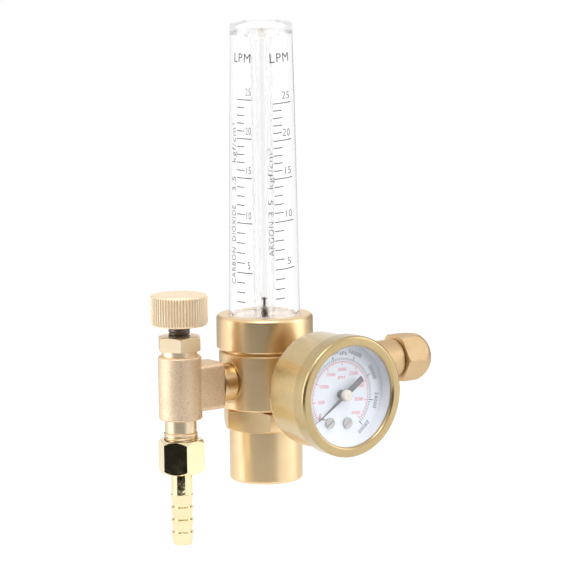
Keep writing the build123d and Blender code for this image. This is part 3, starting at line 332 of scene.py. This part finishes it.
def metalFinish(name, finish, centre=(0, 0, 0), axis="Z"):
    paint, nodes, links = newPaint(name)
    shader = nodes["Principled BSDF"]
    shader.inputs["Metallic"].default_value = finish.get("metallic", 1.0)
    shader.inputs["Coat Weight"].default_value = finish.get("coat", 0.0)
    shader.inputs["Coat Roughness"].default_value = finish.get("coatRoughness", 0.1)
    coordinates = axisCoordinates(nodes, links, centre, axis)
    cloud = noise(nodes, links, coordinates, cloudScale, 3)
    shade = remap(nodes, links, cloud, 0, 1)
    colour = blendColours(nodes, links, shade, finish["colour"], finish["darker"])
    marks = markVector(nodes, links, coordinates, finish["marks"], finish["markScale"])
    fine = noise(nodes, links, marks, 1.0, finish.get("markDetail", 2))
    if "pits" in finish:
        # small dark pits of the casting skin
        pitted = remap(nodes, links, fine, 0.45, 0.0, 0.36, 0.52)
        colour = blendColours(nodes, links, pitted, colour, finish["pits"])
    links.new(colour, shader.inputs["Base Color"])
    low, high = finish["roughness"]
    links.new(remap(nodes, links, fine, low, high), shader.inputs["Roughness"])
    edge = nodes.new("ShaderNodeBevel")
    edge.samples = 4
    edge.inputs["Radius"].default_value = finish.get("edge", 0.15) * mm
    strength = finish.get("bumpStrength", 0.4)
    roughen(nodes, links, shader, fine, strength, finish["bump"], normal=edge.outputs[0])
    return paint


def clearFinish(name, finish):
    paint, nodes, links = newPaint(name)
    shader = nodes["Principled BSDF"]
    shader.inputs["Base Color"].default_value = finish["tint"]
    shader.inputs["Transmission Weight"].default_value = 1.0
    shader.inputs["IOR"].default_value = finish["ior"]
    shader.inputs["Alpha"].default_value = finish["presence"]
    coordinates = axisCoordinates(nodes, links, (0, 0, 0), "Z")
    cloud = noise(nodes, links, coordinates, 40, 2)
    links.new(remap(nodes, links, cloud, 0.0, finish["haze"]), shader.inputs["Roughness"])
    split = nodes.new("ShaderNodeSeparateXYZ")
    links.new(coordinates, split.inputs[0])
    if "thinAbove" in finish:
        # the crown is thick and moulded, and shows pale instead of bending the dark card into view
        low, high = finish["thinAbove"]
        height = split.outputs["Z"]
        thin = remap(nodes, links, height, finish["presence"], finish["crownPresence"], low * mm, high * mm)
        links.new(thin, shader.inputs["Alpha"])
    if "paintedPaleFootBelow" in finish:
        # painted light: the foot that stands in the collar is made less clear, so it shows pale where light
        # through the glass would leave it dark
        low, high = finish["paintedPaleFootBelow"]
        clear = remap(nodes, links, split.outputs["Z"], finish["footClarity"], 1.0, low * mm, high * mm)
        links.new(clear, shader.inputs["Transmission Weight"])
    # light passes through to what is inside
    path = nodes.new("ShaderNodeLightPath")
    through = nodes.new("ShaderNodeBsdfTransparent")
    through.inputs["Color"].default_value = (0.95, 0.95, 0.95, 1)
    mix = nodes.new("ShaderNodeMixShader")
    out = nodes["Material Output"]
    links.new(path.outputs["Is Shadow Ray"], mix.inputs[0])
    links.new(shader.outputs[0], mix.inputs[1])
    links.new(through.outputs[0], mix.inputs[2])
    links.new(mix.outputs[0], out.inputs[0])
    return paint


def plainFinish(name, finish):
    paint, nodes, links = newPaint(name)
    shader = nodes["Principled BSDF"]
    coordinates = axisCoordinates(nodes, links, (0, 0, 0), "Z")
    speck = noise(nodes, links, coordinates, finish["scale"], 3)
    shade = remap(nodes, links, speck, 0, 1)
    colour = blendColours(nodes, links, shade, finish["colour"], finish["darker"])
    links.new(colour, shader.inputs["Base Color"])
    low, high = finish["roughness"]
    links.new(remap(nodes, links, speck, low, high), shader.inputs["Roughness"])
    roughen(nodes, links, shader, speck, 0.3, finish["bump"])
    return paint


satin = {
    "colour": (0.86, 0.66, 0.40, 1),
    "darker": (0.81, 0.60, 0.34, 1),
    "roughness": (0.30, 0.38),
    "marks": "rings",
    "markScale": 4500,
    "bump": 0.0012,
}
paleSatin = dict(satin, colour=(0.93, 0.78, 0.57, 1), darker=(0.88, 0.72, 0.50, 1), roughness=(0.34, 0.44))
knobSatin = dict(satin, colour=(0.95, 0.80, 0.60, 1), darker=(0.91, 0.75, 0.54, 1), roughness=(0.46, 0.56))
neckSatin = dict(satin, colour=(0.84, 0.70, 0.50, 1), darker=(0.80, 0.64, 0.43, 1), roughness=(0.26, 0.34))
nutSatin = dict(satin, colour=(0.66, 0.48, 0.28, 1), darker=(0.59, 0.42, 0.23, 1), roughness=(0.46, 0.58),
                marks="grain", markScale=2200, bump=0.02)
portSatin = dict(satin, colour=(0.72, 0.54, 0.32, 1), darker=(0.66, 0.48, 0.27, 1))
drawn = dict(satin, marks="drawn", markScale=5000)
forged = {
    "colour": (0.90, 0.73, 0.54, 1),
    "darker": (0.80, 0.63, 0.45, 1),
    "pits": (0.45, 0.31, 0.19, 1),
    "roughness": (0.46, 0.64),
    "marks": "grain",
    "markScale": 2300,
    "markDetail": 4,
    "bump": 0.06,
    "bumpStrength": 0.8,
    "edge": 0.4,
}
polished = {
    "colour": (0.86, 0.74, 0.48, 1),
    "darker": (0.82, 0.69, 0.42, 1),
    "roughness": (0.03, 0.07),
    "marks": "grain",
    "markScale": 420,
    "markDetail": 1,
    "bump": 0.025,
    "bumpStrength": 0.5,
    "edge": 0.25,
}
lacquer = {
    "colour": (0.60, 0.45, 0.22, 1),
    "darker": (0.55, 0.40, 0.18, 1),
    "metallic": 0.9,
    "roughness": (0.24, 0.32),
    "coat": 0.7,
    "coatRoughness": 0.06,
    "marks": "grain",
    "markScale": 9000,
    "bump": 0.006,
}
bezelLacquer = dict(lacquer, colour=(0.50, 0.38, 0.19, 1), darker=(0.46, 0.34, 0.16, 1), coat=0.5)
steel = {
    "colour": (0.20, 0.17, 0.16, 1),
    "darker": (0.13, 0.11, 0.10, 1),
    "roughness": (0.30, 0.45),
    "marks": "rings",
    "markScale": 5000,
    "bump": 0.004,
}
brightSteel = dict(steel, colour=(0.55, 0.54, 0.53, 1), darker=(0.45, 0.44, 0.43, 1))
bronze = dict(forged, colour=(0.45, 0.28, 0.15, 1), darker=(0.35, 0.20, 0.10, 1))

clearCover = {
    # presence is how much the plastic bends and greys what lies behind it
    "ior": 1.33, "tint": (1, 1, 1, 1), "haze": 0.004, "presence": 1.0,
    # painted light: the cover is made less clear towards its foot, so the foot shows pale instead of dark
    "paintedPaleFootBelow": (22.5, 24.5), "footClarity": 0.25,
    "thinAbove": (125.5, 127.5), "crownPresence": 0.3,
}
clearTube = {"ior": 1.49, "tint": (0.97, 0.97, 0.97, 1), "haze": 0.004, "presence": 0.35}
clearLens = {"ior": 1.45, "tint": (1, 1, 1, 1), "haze": 0.01, "presence": 1.0}
plainPaints = {
    "blackRubber": {"colour": (0.03, 0.03, 0.03, 1), "darker": (0.02, 0.02, 0.02, 1),
                    "roughness": (0.5, 0.7), "scale": 1500, "bump": 0.02},
    "paleNylon": {"colour": (0.80, 0.78, 0.72, 1), "darker": (0.74, 0.72, 0.66, 1),
                  "roughness": (0.4, 0.5), "scale": 800, "bump": 0.01},
    "dialPaint": {"colour": (0.84, 0.88, 0.95, 1), "darker": (0.81, 0.85, 0.93, 1),
                  "roughness": (0.35, 0.45), "scale": 1200, "bump": 0.004},
    "pointerPaint": {"colour": (0.17, 0.17, 0.18, 1), "darker": (0.14, 0.14, 0.15, 1),
                     "roughness": (0.35, 0.5), "scale": 2000, "bump": 0.005},
    "hubPlastic": {"colour": (0.75, 0.70, 0.62, 1), "darker": (0.70, 0.65, 0.57, 1),
                   "roughness": (0.3, 0.4), "scale": 1500, "bump": 0.005},
    "spacerPlastic": {"colour": (0.82, 0.84, 0.88, 1), "darker": (0.78, 0.80, 0.84, 1),
                      "roughness": (0.4, 0.5), "scale": 900, "bump": 0.008},
    "coverInk": {"colour": (0.10, 0.10, 0.11, 1), "darker": (0.07, 0.07, 0.08, 1),
                 "roughness": (0.5, 0.6), "scale": 3000, "bump": 0.004},
    "blackInk": {"colour": (0.07, 0.08, 0.09, 1), "darker": (0.05, 0.05, 0.06, 1),
                 "roughness": (0.45, 0.55), "scale": 3000, "bump": 0.002},
    "redInk": {"colour": (0.80, 0.12, 0.14, 1), "darker": (0.72, 0.10, 0.12, 1),
               "roughness": (0.45, 0.55), "scale": 3000, "bump": 0.002},
}

columnCentre = (columnX, 0, 0)
valveCentre = (valveX, 0, 0)
portCentre = (0, 0, 0)
finishes = {
    "columnBrass": metalFinish("columnBrass", satin, columnCentre, "Z"),
    "portBrass": metalFinish("portBrass", portSatin, portCentre, "X"),
    "glandBrass": metalFinish("glandBrass", paleSatin, valveCentre, "Z"),
    "gaugeBrass": metalFinish("gaugeBrass", drawn, columnCentre, "Y"),
    "knobBrass": metalFinish("knobBrass", knobSatin, valveCentre, "Z"),
    "neckBrass": metalFinish("neckBrass", neckSatin, valveCentre, "Z"),
    "domeBrass": metalFinish("domeBrass", nutSatin, portCentre, "X"),
    "forgedBrass": metalFinish("forgedBrass", forged),
    "polishedBrass": metalFinish("polishedBrass", polished, valveCentre, "Z"),
    "lacqueredBrass": metalFinish("lacqueredBrass", lacquer, columnCentre, "Y"),
    "bezelBrass": metalFinish("bezelBrass", bezelLacquer, columnCentre, "Y"),
    "darkSteel": metalFinish("darkSteel", steel, valveCentre, "Z"),
    "springSteel": metalFinish("springSteel", brightSteel, columnCentre, "Z"),
    "sinteredBronze": metalFinish("sinteredBronze", bronze),
    "clearCover": clearFinish("clearCover", clearCover),
    "clearTube": clearFinish("clearTube", clearTube),
    "clearLens": clearFinish("clearLens", clearLens),
}
for name, finish in plainPaints.items():
    finishes[name] = plainFinish(name, finish)

nodeFinish = {
    "body": "columnBrass", "bonnet": "columnBrass", "preset_screw": "darkSteel", "spring_seat": "springSteel",
    "diaphragm": "blackRubber", "diaphragm_plate": "columnBrass", "range_spring": "springSteel",
    "poppet": "columnBrass", "poppet_plug": "columnBrass", "poppet_spring": "springSteel",
    "tube_collar": "columnBrass", "cover_seal": "blackRubber", "tube_cover": "clearCover",
    "tube_seat": "columnBrass", "tube_seal": "blackRubber", "metering_tube": "clearTube",
    "float_stop": "paleNylon", "flow_float": "darkSteel", "gauge_case": "lacqueredBrass",
    "bezel": "bezelBrass", "lens": "clearLens", "spacer_ring": "spacerPlastic", "dial": "dialPaint",
    "dial_screws": "springSteel", "stop_pin": "springSteel", "pointer": "pointerPaint",
    "pointer_hub": "hubPlastic", "arbor": "springSteel", "gauge_socket": "gaugeBrass",
    "bourdon_tube": "gaugeBrass", "movement_frame": "gaugeBrass", "sector_gear": "gaugeBrass",
    "tip_block": "gaugeBrass", "link": "springSteel", "valve_body": "forgedBrass",
    "outlet_nipple": "portBrass", "packing": "paleNylon", "gland_nut": "glandBrass",
    "valve_stem": "darkSteel", "knob": "knobBrass", "outlet_adapter": "neckBrass",
    "tail_washer": "paleNylon", "union_nut": "polishedBrass", "hose_tail": "polishedBrass",
    "inlet_stem": "domeBrass", "inlet_filter": "sinteredBronze", "inlet_nipple": "portBrass",
    "inlet_washer": "paleNylon", "inlet_nut": "domeBrass",
}


def finishNodes():
    for name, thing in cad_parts.items():
        paint = finishes[nodeFinish[name]]
        for spot in thing.material_slots:
            spot.material = paint


finishNodes()
print("finishes on", len(nodeFinish), "nodes")


def newPiece(name, bm, paint, body, smooth=True):
    bmesh.ops.recalc_face_normals(bm, faces=bm.faces)
    data = bpy.data.meshes.new(name)
    bm.to_mesh(data)
    bm.free()
    for face in data.polygons:
        face.use_smooth = smooth
    thing = addObject(name, data)
    thing.data.materials.append(finishes[paint])
    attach(thing, body)
    return thing


# Springs and diaphragm inside the regulator: each is copied out of its node, which is then hidden
softPieces = [
    {"node": "range_spring", "name": "rangeSpringCoil", "slot": "spring_steel", "heldEnd": "low"},
    {"node": "poppet_spring", "name": "poppetSpringCoil", "slot": "spring_steel", "heldEnd": "high"},
    {"node": "diaphragm", "name": "softDiaphragm", "slot": "rubber", "heldEnd": "low"},
]


def bendSoftPiece(piece):
    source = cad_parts[piece["node"]]
    thing = addObject(piece["name"], source.data.copy())
    thing.matrix_world = source.matrix_world.copy()
    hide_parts(piece["node"])
    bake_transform(thing)


for piece in softPieces:
    bendSoftPiece(piece)

# Threads: rings of points whose radius dips along a helix. Each fades in and out over the same share
# of its length.
runOut = 1 / 6
stemThread = {
    "pitch": 1.25, "depth": 0.55, "segments": 48, "stepsPerTurn": 8,
    # radius, height, threaded from here to the next point
    "profile": [(0.0, -3.9, 0), (0.5, -3.9, 0), (1.9, -0.8, 0), (1.9, -0.5, 0), (3.0, -0.5, 0),
                (3.0, 5.8, 0), (3.5, 5.8, 0), (3.95, 6.3, 1), (3.95, 22.5, 0), (3.5, 22.9, 0),
                (3.0, 22.9, 0), (3.0, 31.2, 0), (0.0, 31.2, 0)],
}
adapterThread = {
    "pitch": 1.0, "depth": 0.5, "segments": 64, "stepsPerTurn": 8,
    "profile": [(2.0, -6.5, 0), (4.5, -6.5, 0), (4.5, -11.1, 0), (5.75, -11.1, 0), (5.75, -15.6, 0),
                (5.65, -15.7, 0), (6.15, -16.15, 1), (6.15, -23.9, 0), (5.65, -24.5, 0),
                (2.0, -24.5, 0), (2.0, -6.5, 0)],
}


def threadRings(settings):
    rings = []
    profile = settings["profile"]
    for index, (radius, height, threaded) in enumerate(profile):
        rings.append((radius, height, 0.0))
        if not threaded:
            continue
        endHeight = profile[index + 1][1]
        steps = max(2, round(abs(endHeight - height) / settings["pitch"] * settings["stepsPerTurn"]))
        for step in range(1, steps):
            share = step / steps
            ease = min(1.0, share / runOut, (1 - share) / runOut)
            rings.append((radius, height + (endHeight - height) * share, settings["depth"] * ease))
    return rings


def turnThreaded(name, settings, centreX, paint, body):
    bm = bmesh.new()
    segments = settings["segments"]
    rows = []
    for radius, height, depth in threadRings(settings):
        if radius == 0.0:
            rows.append([bm.verts.new((centreX, 0, height * mm))] * segments)
            continue
        row = []
        for index in range(segments):
            turn = index / segments
            phase = (height / settings["pitch"] - turn) % 1.0
            dip = depth * abs(2 * phase - 1)
            reach = (radius - dip) * mm
            angle = 2 * math.pi * turn
            x, y = centreX + reach * math.cos(angle), reach * math.sin(angle)
            row.append(bm.verts.new((x, y, height * mm)))
        rows.append(row)
    for first, second in zip(rows, rows[1:]):
        for index in range(segments):
            after = (index + 1) % segments
            corners = []
            for corner in (first[index], first[after], second[after], second[index]):
                if corner not in corners:
                    corners.append(corner)
            if len(corners) > 2:
                bm.faces.new(corners)
    bmesh.ops.remove_doubles(bm, verts=bm.verts, dist=1e-7)
    return newPiece(name, bm, paint, body, smooth=False)


threadedStem = turnThreaded("threadedStem", stemThread, valveX, "darkSteel", "stem")
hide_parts("valve_stem")
threadedAdapter = turnThreaded("threadedAdapter", adapterThread, valveX, "neckBrass", "regulator")
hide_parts("outlet_adapter")
print("threads turned")


# Printing: thin solid strips and letters laid on a surface by a placing function
def strip(bm, points, width, depth, place):
    rows = []
    for index, point in enumerate(points):
        before = points[max(index - 1, 0)]
        after = points[min(index + 1, len(points) - 1)]
        along = Vector((after[0] - before[0], after[1] - before[1])).normalized()
        across = Vector((-along.y, along.x)) * (width / 2)
        row = []
        for side, level in ((1, 0), (-1, 0), (-1, depth), (1, depth)):
            row.append(bm.verts.new(place(point[0] + side * across.x, point[1] + side * across.y, level)))
        rows.append(row)
    for first, second in zip(rows, rows[1:]):
        for index in range(4):
            after = (index + 1) % 4
            bm.faces.new((first[index], first[after], second[after], second[index]))
    bm.faces.new(rows[0])
    bm.faces.new(rows[-1])


def line(bm, start, end, width, depth, place, steps=1):
    points = []
    for step in range(steps + 1):
        share = step / steps
        points.append((start[0] + (end[0] - start[0]) * share, start[1] + (end[1] - start[1]) * share))
    strip(bm, points, width, depth, place)


# The font's capitals, as a share of its size, and the space between its letters
capShare = 0.73
letterSpace = 1.12


def letters(bm, text, height, length, middle, turn, depth, place, weight=0.0):
    # height is that of the capitals, and the line of text is stretched to its length
    data = bpy.data.curves.new("lettering", "FONT")
    data.body = text
    data.size = height / capShare
    data.space_character = letterSpace
    data.extrude = depth / 2
    data.offset = weight
    data.resolution_u = 3
    thing = addObject("lettering", data)
    bpy.context.view_layer.update()
    evaluated = thing.evaluated_get(bpy.context.evaluated_depsgraph_get())
    made = bpy.data.meshes.new_from_object(evaluated)
    left = min(vertex.co.x for vertex in made.vertices)
    right = max(vertex.co.x for vertex in made.vertices)
    stretch = length / (right - left)
    cosine, sine = math.cos(turn), math.sin(turn)
    spots = []
    for vertex in made.vertices:
        u = (vertex.co.x - (left + right) / 2) * stretch
        v = vertex.co.y - height / 2
        spot = (middle[0] + u * cosine - v * sine, middle[1] + u * sine + v * cosine)
        spots.append(bm.verts.new(place(spot[0], spot[1], vertex.co.z + depth / 2)))
    for face in made.polygons:
        bm.faces.new([spots[index] for index in face.vertices])
    bpy.data.objects.remove(thing)
    bpy.data.curves.remove(data)
    bpy.data.meshes.remove(made)


# Cover print: two flow scales with their gas names, in litres a minute
cover = {
    "facing": -36.3,
    "baseHeight": 23.7, "baseRadius": 13.2, "topHeight": 131.0, "topRadius": 11.45,
    "inkDepth": 0.04,
    "lineWidth": 0.36,
    "numberLift": 2.9, "numberHeight": 2.8, "numberWeight": -0.02, "wordWeight": -0.03,
    "numberShare": {25: 1.0, 20: 1.0, 15: 0.86, 10: 0.86, 5: 0.44},
    "unitHeight": 3.45, "unitMiddle": 117.9,
    "scales": [
        {"heights": {25: 102.8, 20: 88.8, 15: 74.6, 10: 58.2, 5: 40.1}, "belowFive": (36.5, 32.9, 29.4),
         "start": -48.1, "majorEnd": -18.2, "minorEnd": -31.5, "rise": -0.006,
         "number": -24.3, "numberLength": 2.15, "numberShift": 0.3,
         "unit": -37.0, "unitLength": 7.3, "unitTurn": -2.5,
         "wordAngle": -57.4, "wordHeight": 2.5,
         "words": [("CARBON", 35.8, 49.0), ("DIOXIDE", 51.4, 64.4), ("3.5", 69.7, 74.9),
                   ("kgf/cm²", 80.1, 94.4)]},
        {"heights": {25: 101.5, 20: 88.1, 15: 74.4, 10: 58.8, 5: 41.5}, "belowFive": (37.8, 34.2, 30.7),
         "start": 19.9, "majorEnd": 59.4, "minorEnd": 36.6, "rise": 0.014,
         "number": 46.5, "numberLength": 3.6, "numberShift": 1.9,
         "unit": 35.0, "unitLength": 8.2, "unitTurn": 4.0,
         "wordAngle": 13.3, "wordHeight": 2.05,
         "words": [("ARGON", 46.3, 58.7), ("3.5", 60.7, 66.6), ("kgf/cm²", 70.7, 85.4)]},
    ],
}


def coverRadius(height):
    share = (height - cover["baseHeight"]) / (cover["topHeight"] - cover["baseHeight"])
    return cover["baseRadius"] + (cover["topRadius"] - cover["baseRadius"]) * share


def placeOnCover(angle, height, out):
    # angle in degrees from the line that faces the camera, growing to the right
    turn = math.radians(cover["facing"] + angle)
    radius = (coverRadius(height) + out) * mm
    return Vector((columnX + radius * math.sin(turn), -radius * math.cos(turn), height * mm))


def placeWord(middleAngle, middleHeight):
    def place(u, v, out):
        radius = coverRadius(middleHeight)
        return placeOnCover(middleAngle + math.degrees(u / radius), middleHeight + v, out)
    return place


def tickLine(bm, scale, height, end):
    # the printed lines climb or fall a little, as on the wrapped print of the photograph
    climb = scale["rise"] * (scale[end] - scale["start"])
    ends = ((scale["start"], height - climb / 2), (scale[end], height + climb / 2))
    line(bm, ends[0], ends[1], cover["lineWidth"], cover["inkDepth"], placeOnCover, steps=10)


def coverText(bm, text, height, length, place, turn=0.0, weight=0.0):
    letters(bm, text, height, length, (0, 0), turn, cover["inkDepth"], place, weight)


def printCover():
    bm = bmesh.new()
    for scale in cover["scales"]:
        heights = scale["heights"]
        values = sorted(heights)
        for value in values:
            tickLine(bm, scale, heights[value], "majorEnd")
            middle = scale["number"] + (scale["numberShift"] if value in (10, 15) else 0)
            place = placeWord(middle, heights[value] + cover["numberLift"])
            length = scale["numberLength"] * cover["numberShare"][value]
            coverText(bm, str(value), cover["numberHeight"], length, place, weight=cover["numberWeight"])
        for low, high in zip(values, values[1:]):
            for step in range(1, 5):
                tickLine(bm, scale, heights[low] + (heights[high] - heights[low]) * step / 5, "minorEnd")
        for height in scale["belowFive"]:
            tickLine(bm, scale, height, "minorEnd")
        place = placeWord(scale["unit"], cover["unitMiddle"])
        turn = math.radians(scale["unitTurn"])
        coverText(bm, "LPM", cover["unitHeight"], scale["unitLength"], place, turn)
        for word, low, high in scale["words"]:
            place = placeWord(scale["wordAngle"], (low + high) / 2)
            coverText(bm, word, scale["wordHeight"], high - low, place, math.pi / 2, cover["wordWeight"])
    return newPiece("coverPrint", bm, "coverInk", "regulator", smooth=False)


printCover()
print("cover printed")

# Dial print: kPa round the outside in black, psi inside in red, turned with the gauge
dial = {
    "front": 44.9, "turn": -6.0, "drop": 0.8,
    "inkDepth": 0.03,
    "zero": 224.0,
    "digitWidth": 0.72,  # share of the height
    "unitHeight": 1.4,
    "black": {"sweep": 268.0, "steps": 7, "parts": 10, "inner": 12.9, "minor": 13.85, "major": 14.8,
              "widths": (0.24, 0.34), "numberRadius": 16.2, "numberHeight": 1.6,
              "numbers": ["0", "4000", "8000", "12000", "16000", "20000", "24000", "28000"],
              "unit": "kPa", "unitLength": 3.0, "unitPlace": (-0.2, 15.5)},
    "red": {"sweep": 264.0, "steps": 8, "parts": 5, "inner": 11.7, "minor": 12.4, "major": 11.0,
            "widths": (0.12, 0.22), "arcWidth": 0.18, "arcSteps": 90, "numberHeight": 1.3,
            "numbers": ["0", "500", "1000", "1500", "2000", "2500", "3000", "3500", "4000"],
            "places": [(-8.4, -6.7), (-8.4, -2.0), (-7.6, 3.55), (-4.95, 7.85), (-0.2, 9.7),
                       (5.2, 8.3), (8.4, 3.9), (8.4, -1.0), (7.4, -5.95)],
            "unit": "psi", "unitLength": 2.9, "unitPlace": (-0.2, 7.1)},
}


def placeOnDial(u, v, out):
    turn = math.radians(dial["turn"])
    x = u * math.cos(turn) - v * math.sin(turn)
    z = u * math.sin(turn) + v * math.cos(turn) - dial["drop"]
    return Vector((columnX + x * mm, -(dial["front"] + out) * mm, z * mm))


def dialPoint(radius, degrees):
    angle = math.radians(degrees)
    return (radius * math.cos(angle), radius * math.sin(angle))


def dialTick(bm, inner, outer, degrees, width):
    line(bm, dialPoint(inner, degrees), dialPoint(outer, degrees), width, dial["inkDepth"], placeOnDial)


def dialText(bm, text, height, length, spot, turn=0.0):
    letters(bm, text, height, length, spot, turn, dial["inkDepth"], placeOnDial)


def digitLength(text, height):
    return dial["digitWidth"] * height * len(text)


def printBlackScale():
    bm = bmesh.new()
    scale = dial["black"]
    count = scale["steps"] * scale["parts"]
    for step in range(count + 1):
        major = step % scale["parts"] == 0
        degrees = dial["zero"] - scale["sweep"] * step / count
        outer = scale["major"] if major else scale["minor"]
        dialTick(bm, scale["inner"], outer, degrees, scale["widths"][major])
    height = scale["numberHeight"]
    for index, text in enumerate(scale["numbers"]):
        degrees = dial["zero"] - scale["sweep"] * index / scale["steps"]
        spot = dialPoint(scale["numberRadius"], degrees)
        dialText(bm, text, height, digitLength(text, height), spot, math.radians(degrees - 90))
    dialText(bm, scale["unit"], dial["unitHeight"], scale["unitLength"], scale["unitPlace"])
    return newPiece("dialBlackPrint", bm, "blackInk", "regulator", smooth=False)


def printRedScale():
    bm = bmesh.new()
    scale = dial["red"]
    arc = []
    for step in range(scale["arcSteps"] + 1):
        degrees = dial["zero"] - scale["sweep"] * step / scale["arcSteps"]
        arc.append(dialPoint(scale["minor"], degrees))
    strip(bm, arc, scale["arcWidth"], dial["inkDepth"], placeOnDial)
    count = scale["steps"] * scale["parts"]
    for step in range(count + 1):
        major = step % scale["parts"] == 0
        degrees = dial["zero"] - scale["sweep"] * step / count
        inner = scale["major"] if major else scale["inner"]
        dialTick(bm, inner, scale["minor"], degrees, scale["widths"][major])
    height = scale["numberHeight"]
    for text, spot in zip(scale["numbers"], scale["places"]):
        dialText(bm, text, height, digitLength(text, height), spot)
    dialText(bm, scale["unit"], dial["unitHeight"], scale["unitLength"], scale["unitPlace"])
    return newPiece("dialRedPrint", bm, "redInk", "regulator", smooth=False)


printBlackScale()
printRedScale()
print("dial printed")
